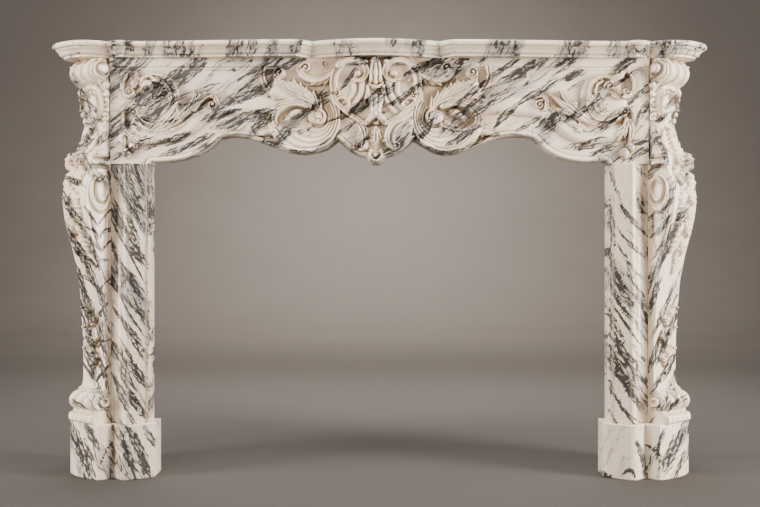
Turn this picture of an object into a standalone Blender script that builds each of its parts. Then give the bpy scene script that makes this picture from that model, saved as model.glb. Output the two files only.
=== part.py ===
"""Carved marble chimneypiece with corner consoles and a serpentine shelf.

Metres, +Z up. The front looks along -Y and the wall is the plane y = WALL_Y. The origin
is on the floor, under the middle of the part's box.
"""

import math

import bmesh
import bpy
import numpy as np

MM = 0.001

# Overall sizes
HEIGHT = 1.27
DEPTH = 0.348
OPENING_WIDTH = 1.36
OPENING_HEIGHT = 0.9185
JOINT_GAP = 0.0003
WALL_Y = DEPTH / 2

# Shelf
SHELF_THICKNESS = 0.0424
SHELF_NOTCH_FROM_WALL = 0.302
SHELF_SWELL_FROM_WALL = 0.333
SHELF_RUN_FROM_WALL = 0.306
SHELF_BUMP_FROM_WALL = 0.321
SHELF_BULGE_HALF = 0.1835
SHELF_BULGE_SHIFT = -0.0113
SHELF_SWELL_WIDTH = 0.05
SHELF_BUMP_WIDTH = 0.072
SHELF_LOBE_FROM_WALL = 0.3225
SHELF_LOBE_HALF_WIDTH = 0.1125
SHELF_LOBE_HALF_DEPTH = 0.094
SHELF_LOBE_OFFSET = 0.061
SHELF_LOBE_FLATNESS = 0.03
SHELF_LOBE_START = -125
SHELF_LOBE_END = 50
SHELF_NOTCH_OFFSET = 0.006
SHELF_SIDE_OVERHANG = 0.044
SHELF_TORUS = 0.017
SHELF_PROJECTION = 0.033

# Plinths
PLINTH_HEIGHT = 0.159
PLINTH_LEDGE = 0.02
PLINTH_LOBE_HALF = 0.082
PLINTH_LOBE_OUT = 0.05
PLINTH_BOW = 0.016
PLINTH_NOSE_LEDGE = 0.014
PLINTH_RETURN_WIDTH = 0.058

# Jambs
JAMB_WIDTH = 0.109
JAMB_BACK_FROM_WALL = 0.157
JAMB_FACE_FROM_WALL = 0.255
JAMB_NOSE_FROM_WALL = 0.284
JAMB_NOSE_ACROSS = 0.055
JAMB_NOSE_RADIUS = 0.011
REVEAL_GROOVE = 0.0035
REVEAL_GROOVE_FROM_WALL = 0.24

# Corner consoles, which stand at 45 degrees
CORNER_FROM_WALL = 0.248
LEG_HALF_WIDTH = 0.064
LEG_TAIL = 0.045
LEG_ARRIS = 0.006
LEG_ARRIS_DROP = 0.0036
LEG_WRAP = 0.12
LEG_CHEEK = 0.003

# Returns to the wall
RETURN_STEP = 0.001
RETURN_THICKNESS = 0.04

# Frieze
FRIEZE_FACE_FROM_WALL = 0.255
FRIEZE_THICKNESS = 0.058

# Facets
SHELF_ARC_STEPS = 16
FRIEZE_COLUMNS = 300
FRIEZE_ROWS = 64
FRIEZE_FACETS = 3500
LEG_COLUMNS = 66
LEG_ROWS = 210
LEG_FRONT_SHARE = 0.46
LEG_FACETS = 1650
SEAT_TRUING = 0.0006

REVEAL_X = OPENING_WIDTH / 2
CORNER = np.array([REVEAL_X + JAMB_WIDTH, WALL_Y - CORNER_FROM_WALL])
DIAGONAL_OUT = np.array([1.0, -1.0]) / math.sqrt(2)
DIAGONAL_ALONG = np.array([1.0, 1.0]) / math.sqrt(2)
LEG_ORIGIN = CORNER + DIAGONAL_ALONG * LEG_HALF_WIDTH
SHELF_BOTTOM = HEIGHT - SHELF_THICKNESS
RETURN_X = LEG_ORIGIN[0] + LEG_HALF_WIDTH / math.sqrt(2) + RETURN_STEP

# The frieze's carving is drawn on squared paper. Columns run to the right and rows run
# down. The drawing is stretched to the real slab, so it keeps its place at any size.
MIDDLE_COLUMN = 379.5
CARTOUCHE_COLUMN = 375.8
DRAWN_HALF_WIDTH = 272.0
TOP_ROW = 56.6
DRAWN_HEIGHT = 106.5

# The console's carving is drawn for a console of this half width, in millimetres
LEG_DRAWN_HALF = 64.0


def leg_plan(out, along):
    """Plan point of the right-hand console's own diagonal axes."""
    return LEG_ORIGIN + DIAGONAL_OUT * out + DIAGONAL_ALONG * along


def arc(centre, radius, start, end, steps):
    """Points of an arc, with its angles in degrees."""
    angles = np.radians(np.linspace(start, end, steps + 1))
    return [np.array([centre[0] + radius * math.cos(a), centre[1] + radius * math.sin(a)])
            for a in angles]


def smooth_path(points, steps=8):
    """A smooth curve through the points that the carver marks, as a fine polyline."""
    marks = np.asarray(points, float)
    padded = np.vstack([2 * marks[0] - marks[1], marks, 2 * marks[-1] - marks[-2]])
    share = np.linspace(0, 1, steps, endpoint=False)[:, None]
    runs = []
    for a, b, c, d in zip(padded, padded[1:], padded[2:], padded[3:]):
        runs.append(0.5 * (2 * b + (c - a) * share + (2 * a - 5 * b + 4 * c - d) * share**2
                           + (3 * b - a - 3 * c + d) * share**3))
    return np.vstack(runs + [marks[-1:]])


def soft_step(values, low, high):
    """0 below low, 1 above high, smooth between them."""
    share = np.clip((values - low) / (high - low), 0, 1)
    return share * share * (3 - 2 * share)


class Carving:
    """Relief height over a drawn face, built up stroke by stroke.

    x and y are the drawing coordinates of the face's points, and height is the relief
    there, in metres.
    """

    def __init__(self, x, y):
        self.x = x
        self.y = y
        self.height = np.zeros_like(x)

    def turned_over(self, column):
        """The same face, with its drawing turned over about a column."""
        other = Carving(2 * column - self.x, self.y)
        other.height = self.height
        return other

    def near(self, points, reach):
        """The points of the face that lie within reach of a stroke's points."""
        low = points.min(axis=0) - reach
        high = points.max(axis=0) + reach
        return np.nonzero((self.x > low[0]) & (self.x < high[0])
                          & (self.y > low[1]) & (self.y < high[1]))

    def along(self, points, reach):
        """Where the nearby points lie along a stroke, and how far to its side."""
        where = self.near(points, reach)
        px, py = self.x[where], self.y[where]
        lengths = np.hypot(*np.diff(points, axis=0).T)
        starts = np.concatenate([[0], np.cumsum(lengths)])
        best = np.full(px.shape, 1e9)
        share = np.zeros_like(px)
        side = np.zeros_like(px)
        for index, (a, b) in enumerate(zip(points, points[1:])):
            step = b - a
            size = max(lengths[index], 1e-9)
            t = np.clip(((px - a[0]) * step[0] + (py - a[1]) * step[1]) / size**2, 0, 1)
            dx, dy = px - a[0] - t * step[0], py - a[1] - t * step[1]
            distance = np.hypot(dx, dy)
            closer = distance < best
            best = np.where(closer, distance, best)
            share = np.where(closer, (starts[index] + t * size) / starts[-1], share)
            turn = np.where(step[0] * dy - step[1] * dx >= 0, 1.0, -1.0)
            side = np.where(closer, turn, side)
        return where, share, best * side

    def lay(self, where, height):
        """Lay a form over the ground: the higher of the two shows."""
        self.height[where] = np.maximum(self.height[where], height)

    def ridge(self, marks, width, rise, end_width=None, end_rise=None, flat=0.0):
        """A rounded ridge along the marks; flat squares off its section."""
        path = smooth_path(marks)
        end_width = width if end_width is None else end_width
        end_rise = rise if end_rise is None else end_rise
        where, t, d = self.along(path, max(width, end_width))
        half = width + (end_width - width) * t
        q = np.abs(d) / half
        section = np.sqrt(np.clip(1 - q**(2 + 6 * flat), 0, 1))
        self.lay(where, np.where(q < 1, (rise + (end_rise - rise) * t) * section, 0))

    def ribbon(self, marks, width, rise, end_width=None, end_rise=None, hollow=0.5):
        """A scroll's band: raised at its two edges and hollow between them."""
        path = smooth_path(marks)
        end_width = width if end_width is None else end_width
        end_rise = rise if end_rise is None else end_rise
        where, t, d = self.along(path, max(width, end_width))
        half = width + (end_width - width) * t
        q = np.abs(d) / half
        section = (1 - hollow * (1 - q**2)) * (1 - soft_step(q, 0.82, 1.0))
        self.lay(where, np.where(q < 1, (rise + (end_rise - rise) * t) * section, 0))

    def leaf(self, marks, width, rise, lobes=5, notch=0.4, slant=0.9):
        """An acanthus leaf along the marks, its lobes pointing to the tip."""
        path = smooth_path(marks)
        where, t, d = self.along(path, width * 1.2)
        swell = np.sin(math.pi * np.clip(t, 0, 1)**0.7)
        envelope = width * (0.18 + 0.82 * np.clip(swell, 0, 1)**0.6)
        q = np.abs(d) / envelope
        lobe = np.mod(lobes * t - slant * q + 0.35, 1.0)
        edge = 1 - notch * np.abs(2 * lobe - 1)**1.6
        inside = np.clip(1 - (q / edge)**2.4, 0, 1)
        flute = 1 - 0.42 * np.abs(2 * lobe - 1) * np.clip(q * 1.6, 0, 1)
        stem = 1 - 0.3 * np.exp(-(q / 0.13)**2)
        taper = 0.55 + 0.45 * np.clip(np.sin(math.pi * (0.12 + 0.8 * t)), 0, 1)
        form = rise * np.sqrt(inside) * flute * stem * taper
        self.lay(where, np.where(q < edge, form, 0))

    def dome(self, centre, radius, rise, stretch=1.0, angle=0.0, base=0.0):
        """A bud or an eye: a rounded boss, drawn out along its angle in degrees."""
        reach = radius * max(stretch, 1.0)
        where = self.near(np.array([centre]), reach)
        dx, dy = self.x[where] - centre[0], self.y[where] - centre[1]
        turn = math.radians(angle)
        far = (dx * math.cos(turn) + dy * math.sin(turn)) / (radius * stretch)
        across = (dy * math.cos(turn) - dx * math.sin(turn)) / radius
        q = far**2 + across**2
        self.lay(where, np.where(q < 1, base + rise * np.sqrt(np.clip(1 - q, 0, 1)), 0))

    def sink(self, centre, radius, depth, stretch=1.0, angle=0.0):
        """A hollow cut into what is there."""
        reach = radius * max(stretch, 1.0)
        where = self.near(np.array([centre]), reach)
        dx, dy = self.x[where] - centre[0], self.y[where] - centre[1]
        turn = math.radians(angle)
        far = (dx * math.cos(turn) + dy * math.sin(turn)) / (radius * stretch)
        across = (dy * math.cos(turn) - dx * math.sin(turn)) / radius
        q = far**2 + across**2
        self.height[where] -= depth * np.clip(1 - q, 0, 1)**0.7

    def volute(self, centre, radius, rise, turns=1.6, start=0.0, hand=1, base=0.0):
        """A spiral scroll that winds into an eye, on a low domed ground."""
        self.dome(centre, radius, 0.45 * rise, base=base)
        count = int(18 * turns)
        share = np.linspace(0, 1, count)
        angles = math.radians(start) + hand * 2 * math.pi * turns * share
        reach = radius * 0.82 * (1 - 0.78 * share)
        path = np.stack([centre[0] + reach * np.cos(angles),
                         centre[1] + reach * np.sin(angles)], axis=1)
        where, t, d = self.along(path, radius * 0.3)
        half = radius * (0.21 - 0.06 * t)
        q = np.abs(d) / half
        band = rise * (0.8 + 0.2 * t) * np.sqrt(np.clip(1 - q**2.6, 0, 1))
        self.lay(where, np.where(q < 1, base + band, 0))
        self.dome(centre, radius * 0.24, rise * 1.15, base=base)

    def fan(self, centre, inner, outer, start, end, ribs, rise, scallop=0.12, dish=0.0):
        """A ribbed shell: flutes that spread from the centre between two angles."""
        where = self.near(np.array([centre]), outer * (1 + scallop))
        dx, dy = self.x[where] - centre[0], self.y[where] - centre[1]
        angle = np.degrees(np.arctan2(dy, dx))
        share = np.mod(angle - start, 360.0) / (end - start)
        radius = np.hypot(dx, dy)
        rib = np.abs(np.sin(math.pi * ribs * np.clip(share, 0, 1)))
        far = (radius - inner) / (outer * (1 + scallop * (rib - 1)) - inner)
        inside = (share >= 0) & (share <= 1) & (far >= 0) & (far <= 1)
        body = 1 - dish * np.sin(math.pi * np.clip(far, 0, 1))
        lip = 1 - soft_step(far, 0.86, 1.0)
        self.lay(where, np.where(inside, rise * body * (0.62 + 0.38 * rib) * lip, 0))

    def rings(self, outer_centre, outer_radius, inner_centre, inner_radius, count, rise):
        """Nested ring mouldings whose centres shift towards the inner one."""
        where = self.near(np.array([outer_centre]), outer_radius)
        dx = self.x[where] - outer_centre[0]
        dy = self.y[where] - outer_centre[1]
        shift = np.subtract(inner_centre, outer_centre)
        shrink = outer_radius - inner_radius
        a = shift @ shift - shrink**2
        b = 2 * outer_radius * shrink - 2 * (dx * shift[0] + dy * shift[1])
        c = dx**2 + dy**2 - outer_radius**2
        root = np.sqrt(np.clip(b * b - 4 * a * c, 0, None))
        depth = (-b + root) / (2 * a)
        inside = (depth >= 0) & (depth <= 1)
        groove = np.abs(np.sin(math.pi * count * depth))**0.6
        body = rise * (0.75 + 0.25 * np.cos(math.pi * depth)) * (0.62 + 0.38 * groove)
        self.lay(where, np.where(inside, body, 0))


# Lower edge of the frieze's left half, from the jamb to the centre line, in squares
LOWER_EDGE_LEFT = [
    (147.8, 163.4), (149.5, 160.9), (157, 161.0), (166, 160.3), (175, 159.3), (184, 157.4),
    (193, 154.3), (202.5, 149.8), (211, 143.4), (217.5, 136.9), (225, 135.2), (232.9, 134.6),
    (247, 136.2), (261.4, 141.2), (274.8, 146.6), (288.2, 150.9), (302.5, 152.7),
    (315, 151.4), (327, 147.4), (338, 139.0), (343, 143.6), (350, 149.4), (358, 153.8),
    (366.5, 156.2), (369.2, 160.6), (373.0, 163.3), (376.0, 163.9)]
LOWER_EDGE_RIGHT = [
    (379.0, 163.3), (382.8, 160.6), (385.5, 156.2), (394, 153.9), (402, 149.6),
    (408.6, 144.2), (413.9, 139.0), (425, 145.4), (435, 151.0), (446.6, 153.6),
    (459.5, 151.7), (472.4, 146.6), (485.3, 141.4), (498.3, 137.1), (507, 135.3),
    (515.5, 134.6), (528.4, 134.9), (536.2, 137.1), (541, 142.6), (545.7, 147.4),
    (552, 151.9), (560, 156.0), (571, 159.2), (584, 160.9), (598.7, 160.9), (606, 159.5),
    (609.6, 161.0), (611, 163.4)]


def lower_edge(column):
    """Row of the frieze's lower edge at a column of the drawing."""
    marks = np.array(LOWER_EDGE_LEFT + LOWER_EDGE_RIGHT)
    return np.interp(column, marks[:, 0], marks[:, 1])


def carve_edge(carving):
    """The bead and groove that follow the scalloped lower edge."""
    marks = np.array(LOWER_EDGE_LEFT + LOWER_EDGE_RIGHT, float)
    where, _, d = carving.along(marks, 8)
    d = np.abs(d)
    bead = 0.006 * np.sqrt(np.clip(1 - ((d - 2.1) / 2.3)**2, 0, 1))
    groove = 0.002 * np.exp(-((d - 5.2) / 0.7)**2)
    carving.height[where] += np.where(d < 4.4, bead, 0) - groove


def carve_grounds(carving):
    """Top band, sunk field and the broad swelling that follows the lower edge."""
    row = carving.y - TOP_ROW
    band = 0.0055 * (1 - soft_step(row, 8.0, 9.6)) + 0.0025 * (1 - soft_step(row, 11.2, 12.4))
    carving.height += band
    left = [(136, 141), (157, 138.4), (177.6, 134), (190, 125.5), (199, 117), (213, 110),
            (235, 106.6), (262, 104)]
    right = [(500, 104), (524, 108.4), (543, 111), (554, 116.5), (565, 125.5), (580, 133.5),
             (600, 137.4), (618, 137)]
    for marks in (left, right):
        carving.ridge(marks, 10.5, 0.013, flat=0.1)


def carve_ring_disc(carving):
    """One of the two ringed discs, with its volute, hollow, bead and acanthus leaf."""
    carving.rings((303.5, 116.5), 37.0, (316.5, 115.5), 11.5, 5, 0.021)
    carving.sink((294, 111), 8.5, 0.017, stretch=2.0, angle=-14)
    carving.ribbon([(270, 118), (279, 107), (292, 101.5), (306, 101), (315, 105)],
                   5.2, 0.024, 4.2, 0.03)
    carving.ridge([(274, 122), (281, 131), (296, 126.5), (308, 122)], 4.4, 0.017)
    carving.dome((294.5, 110.5), 4.0, 0.016, stretch=1.4, angle=-20)
    carving.leaf([(272, 74), (277.5, 84), (288, 94.5), (303, 101.5), (316, 110)], 14.0,
                 0.034, lobes=6, notch=0.46, slant=1.15)
    carving.leaf([(262, 112), (273, 103), (287, 96.5), (302, 97)], 6.5, 0.024, lobes=5,
                 slant=-0.9)
    carving.volute((278.4, 71.5), 7.2, 0.026, turns=1.5, start=100)
    carving.volute((317.6, 116.0), 10.5, 0.036, turns=1.2, start=-100)
    for step in range(5):
        turn = math.radians(72 * step + 20)
        carving.dome((317.6 + 4.2 * math.cos(turn), 116 + 4.2 * math.sin(turn)), 2.2, 0.037)
    carving.ridge([(262.0, 67), (262.4, 77), (265.5, 86), (272, 92)], 2.4, 0.014)


def carve_upper_scroll(carving):
    """The smooth scroll under the shelf between the leaf and the cartouche."""
    carving.ribbon([(298.5, 68), (304, 75.5), (314, 78.5), (326, 75.5), (338, 66),
                    (346, 61)], 4.6, 0.016, 6.0, 0.022)
    carving.volute((305.2, 65.6), 7.0, 0.024, turns=1.3, start=180)
    carving.leaf([(328, 77), (320, 81.5), (310.5, 84.4)], 4.2, 0.017, lobes=3)
    carving.leaf([(331, 75), (327.5, 80), (323.5, 85)], 3.6, 0.015, lobes=3)
    carving.dome((325, 62.8), 3.4, 0.012)


def carve_edge_flame(carving):
    """The small flame and bud on the lower edge, outside each ringed disc."""
    carving.leaf([(250, 133.5), (259, 131.5), (270, 126)], 4.6, 0.020, lobes=3)
    carving.leaf([(263, 137), (270, 131), (278, 121)], 4.0, 0.018, lobes=4)
    carving.dome((252, 132.5), 2.6, 0.017)
    carving.ridge([(229, 132.8), (240, 131.5), (250, 133)], 2.2, 0.009)


def carve_cartouche(carving):
    """The central shell cartouche, its crest, fan, palmette and drop."""
    left = [(349, 59.5), (338, 68), (332.4, 80), (332.6, 94), (340, 104), (347, 112),
            (352.5, 120.5), (364, 127)]
    right = [(401.5, 59.5), (412, 67), (419, 79), (419.6, 93), (414, 105), (405, 114),
             (396.5, 120), (386, 125.5)]
    middle = CARTOUCHE_COLUMN
    carving.dome((middle, 96), 40, 0.026, stretch=1.05, angle=90)
    carving.fan((middle, 116), 6, 47, -160, -20, 13, 0.040, scallop=0.10, dish=0.1)
    for marks, hand in ((left, 1), (right, -1)):
        carving.ribbon(marks, 5.2, 0.044, 3.2, 0.036, hollow=0.35)
        inner = [(x + hand * 10.5, y + 3) for x, y in marks[1:6]]
        carving.ribbon(inner, 3.4, 0.038, 2.6, 0.032)
    carving.sink((350.5, 88), 9.5, 0.022, stretch=1.5, angle=60)
    carving.sink((402.5, 86), 9.5, 0.022, stretch=1.5, angle=-60)
    carving.dome((349.0, 104.5), 3.8, 0.044, stretch=1.4, angle=55)
    carving.dome((407.5, 81.0), 3.0, 0.034)
    carving.volute((360.2, 73.5), 8.6, 0.043, turns=1.5, start=-60, hand=-1)
    carving.volute((391.2, 73.5), 8.8, 0.043, turns=1.5, start=-120, hand=1)
    carving.ribbon([(360, 62.5), (352, 66), (350.5, 74), (356, 80.5)], 3.2, 0.04)
    carving.ribbon([(391, 62.5), (400, 66), (401.5, 74), (395, 80.5)], 3.2, 0.04)
    carving.fan((middle, 86.5), 3, 24, -112, -68, 5, 0.050, scallop=0.08)
    carving.dome((374.9, 60.6), 5.6, 0.052, stretch=1.1)
    carving.ribbon([(364, 83.0), (370, 85.5), (middle, 86.3), (382, 85.5), (388, 83.0)],
                   2.6, 0.047)
    carving.fan((middle, 123), 3, 30, -128, -52, 7, 0.048, scallop=0.16)
    carving.leaf([(middle, 94), (middle, 106), (middle, 119)], 8.5, 0.053, lobes=3)
    carving.ribbon([(358, 119), (366, 124.5), (middle, 122.4), (386, 124.5), (394, 119)],
                   3.0, 0.046)
    for hand in (-1, 1):
        carving.leaf([(middle, 121), (middle + 9 * hand, 118), (middle + 17 * hand, 112)],
                     4.6, 0.044, lobes=3)
    carving.dome((middle, 140), 24, 0.022, stretch=1.0)
    carving.leaf([(middle, 125), (middle, 136), (middle, 149)], 8.0, 0.042, lobes=3,
                 notch=0.5)
    carving.leaf([(middle + 1, 128), (middle + 6, 134), (middle + 9, 141)], 3.4, 0.036,
                 lobes=2)
    carving.leaf([(middle - 1, 128), (middle - 6, 134), (middle - 9, 141)], 3.4, 0.036,
                 lobes=2)
    carving.dome((middle, 154.6), 9.4, 0.034)
    carving.ridge([(middle - 6.2, 153), (middle - 4.5, 159), (middle, 161),
                   (middle + 4.5, 159), (middle + 6.2, 153)], 2.2, 0.042)
    carving.dome((middle, 154.4), 3.6, 0.044)
    carving.ridge([(409, 116), (398, 121.5), (390, 130), (387.6, 139), (390.5, 146)],
                  3.8, 0.034, 3.4, 0.036)
    carving.ridge([(405, 124), (398, 131), (396.5, 139), (398.5, 146)], 2.6, 0.026)
    carving.ridge([(345, 118), (354, 124), (361.5, 133), (362.5, 141)], 3.4, 0.030)
    carving.ridge([(346, 126), (352.5, 132), (355.5, 139)], 2.4, 0.024)
    carving.volute((395.0, 146.4), 5.6, 0.036, turns=1.2, start=190, hand=-1)
    carving.volute((357.6, 146.0), 5.6, 0.036, turns=1.2, start=-10, hand=1)


def carve_left_end(carving):
    """Snail scroll, shell wheel, long spray and leaf drop at the left end."""
    carving.ridge([(125.5, 69), (121.8, 78), (121.6, 90), (127, 95.5)], 2.6, 0.014, 2.2, 0.017)
    carving.ridge([(136.5, 71), (134.5, 79), (130, 84)], 2.0, 0.012)
    carving.volute((127.4, 90.4), 6.6, 0.021, turns=1.4, start=90, hand=-1)
    carving.dome((156, 92), 21, 0.012)
    carving.fan((153, 91), 6, 22.5, -120, 100, 9, 0.021, scallop=0.15, dish=0.35)
    carving.ribbon([(141, 82), (148, 73.5), (160, 73.4), (171, 81.5), (176, 94), (172, 105)],
                   2.6, 0.021, 2.2, 0.018)
    carving.dome((147.8, 83.6), 7.4, 0.028, stretch=1.15, angle=60)
    carving.ribbon([(136, 97), (143, 108), (155, 116), (167, 112), (175, 101)], 3.6, 0.020)
    carving.leaf([(146, 98), (150, 106), (160, 110)], 4.6, 0.024, lobes=3)
    carving.leaf([(162, 86), (160, 96), (164, 106)], 4.2, 0.024, lobes=3)
    carving.volute((132.4, 111.8), 5.4, 0.026, turns=1.3, start=200, hand=1)
    carving.ridge([(127, 107.5), (122.6, 113), (121.8, 122), (123.4, 134)], 3.0, 0.018, 2.0,
                  0.01)
    carving.ridge([(134, 117), (142, 125), (153, 127.6)], 3.0, 0.02)
    carving.leaf([(143, 127), (162, 127.4), (180, 121), (195, 109), (207, 96)], 11.5, 0.026,
                 lobes=7, notch=0.42, slant=1.0)
    carving.leaf([(152, 119), (166, 112.5), (178, 107), (187, 106.5)], 5.2, 0.023, lobes=4)
    carving.leaf([(182, 104), (189, 98), (191, 91)], 4.0, 0.024, lobes=2)
    carving.leaf([(190, 106), (198, 98), (203, 90)], 5.0, 0.027, lobes=3)
    carving.leaf([(163, 131.5), (172, 129), (178.5, 124)], 4.0, 0.021, lobes=2)
    carving.ribbon([(196, 112), (204, 100), (211, 96.4), (217, 99)], 3.8, 0.026)
    carving.volute((212.2, 103.4), 6.2, 0.029, turns=1.3, start=-60, hand=1)
    carving.leaf([(219, 101), (225, 99.6), (231.5, 97.6)], 3.0, 0.016, lobes=2)
    carving.leaf([(127, 128), (132.5, 136), (136, 144.5)], 5.4, 0.027, lobes=3)
    carving.leaf([(124, 130), (124.4, 141), (126, 150)], 4.4, 0.025, lobes=3)
    carving.dome((130.5, 146.5), 4.2, 0.024, stretch=1.3, angle=70)
    carving.dome((124.2, 154.5), 3.6, 0.021, stretch=1.5, angle=90)
    carving.ridge([(136.5, 128), (143, 133.5), (151, 135.8)], 3.0, 0.020)


def carve_right_end(carving):
    """Blade leaves, shell wheels and scrolls at the right end."""
    carving.volute((541.5, 102), 6.4, 0.027, turns=1.3, start=-60, hand=-1)
    carving.ribbon([(545, 107.5), (548.5, 99), (545, 93.6), (539, 94.6)], 3.0, 0.026)
    carving.leaf([(594, 122), (577, 115), (562, 104), (549.5, 89)], 10.5, 0.027, lobes=7,
                 notch=0.42, slant=1.0)
    carving.leaf([(590, 113), (577, 104), (567, 92.5)], 5.4, 0.026, lobes=4)
    carving.leaf([(583, 130), (570, 122), (557, 112), (548, 107)], 6.0, 0.022, lobes=5)
    carving.dome((576, 102.6), 2.8, 0.026)
    carving.leaf([(592, 135.5), (583, 130.5), (577, 124)], 4.2, 0.021, lobes=2)
    carving.dome((607, 86), 18, 0.012)
    carving.fan((609.6, 85.6), 6, 20, 95, 320, 9, 0.022, scallop=0.14, dish=0.35)
    carving.ribbon([(592, 96), (592.6, 83), (600, 76), (609.6, 76.4), (615.6, 82.5)], 2.8,
                   0.024)
    carving.volute((609.6, 84.6), 7.0, 0.028, turns=1.3, start=180, hand=1)
    carving.ribbon([(594.5, 99), (595.5, 110), (603, 117), (613.5, 116), (619, 110)], 3.2,
                   0.024)
    carving.fan((606.5, 103.5), 3, 13.5, -20, 190, 7, 0.020, scallop=0.12, dish=0.4)
    carving.leaf([(606, 95), (602, 101), (600.5, 107)], 3.8, 0.026, lobes=2)
    carving.leaf([(611, 92), (617, 97), (621.5, 99)], 4.6, 0.024, lobes=2)
    carving.ribbon([(632, 72), (636, 82), (634.5, 92.5), (627, 96.5), (620, 93)], 3.0, 0.021)
    carving.volute((629.2, 90.4), 5.6, 0.024, turns=1.2, start=0, hand=1)
    carving.dome((626.5, 69), 6.0, 0.021, stretch=1.4, angle=50)
    carving.leaf([(619, 78), (624, 71), (632, 66)], 4.4, 0.02, lobes=3)
    carving.volute((625.2, 111.8), 5.2, 0.027, turns=1.3, start=-20, hand=-1)
    carving.ridge([(630, 108.5), (634.8, 115), (635.4, 124), (634.6, 131)], 2.8, 0.019, 2.0,
                  0.011)
    carving.leaf([(629.5, 117), (627, 129), (618.5, 141)], 7.4, 0.029, lobes=4)
    carving.leaf([(631.5, 120), (632, 133), (630.5, 143)], 4.6, 0.025, lobes=3)
    carving.ridge([(619, 115), (607, 124), (594, 131)], 3.2, 0.019)
    carving.dome((626.8, 152.4), 4.2, 0.023, stretch=1.3, angle=90)
    carving.dome((633.2, 148.2), 4.0, 0.022, stretch=1.3, angle=60)


def carve_frieze(column, row):
    """Relief of the whole frieze at the given points of its drawing."""
    carving = Carving(column, row)
    carve_grounds(carving)
    for face in (carving, carving.turned_over(CARTOUCHE_COLUMN)):
        carve_ring_disc(face)
        carve_upper_scroll(face)
        carve_edge_flame(face)
    carve_cartouche(carving)
    carve_left_end(carving)
    carve_right_end(carving)
    carve_edge(carving)
    return carving.height


# Front profile of the console: height above the floor and how far it stands out, in metres
LEG_PROFILE = [
    (0.1590, 0.0600), (0.1660, 0.0655), (0.1780, 0.0655), (0.1860, 0.0600), (0.1895, 0.0480),
    (0.1980, 0.0500), (0.2060, 0.0600), (0.2190, 0.0660), (0.2330, 0.0640), (0.2450, 0.0520),
    (0.2540, 0.0320), (0.2650, 0.0220), (0.3000, 0.0190), (0.4100, 0.0200), (0.4600, 0.0240),
    (0.5060, 0.0270), (0.5730, 0.0330), (0.6090, 0.0405), (0.6550, 0.0510), (0.6960, 0.0630),
    (0.7340, 0.0740), (0.7700, 0.0820), (0.8080, 0.0860), (0.8420, 0.0850), (0.8750, 0.0770),
    (0.8970, 0.0660), (0.9120, 0.0640), (0.9300, 0.0660), (0.9470, 0.0600), (0.9655, 0.0420),
    (0.9870, 0.0300), (1.0080, 0.0220), (1.0300, 0.0170), (1.0490, 0.0140), (1.0800, 0.0170),
    (1.1130, 0.0220), (1.1400, 0.0260), (1.1520, 0.0340), (1.1610, 0.0470), (1.1750, 0.0600),
    (1.1900, 0.0640), (1.2060, 0.0600), (1.2180, 0.0500), (1.2280, 0.0420)]


def drawn_height(height):
    """Height in the console's drawing, in metres, of a real height above the floor."""
    return np.interp(height, [PLINTH_HEIGHT, SHELF_BOTTOM],
                     [LEG_PROFILE[0][0], LEG_PROFILE[-1][0]])


def leg_profile(height):
    """How far the console's front stands out at a height of its drawing."""
    path = smooth_path(LEG_PROFILE, 6)
    return np.interp(height, path[:, 0], path[:, 1])


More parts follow.
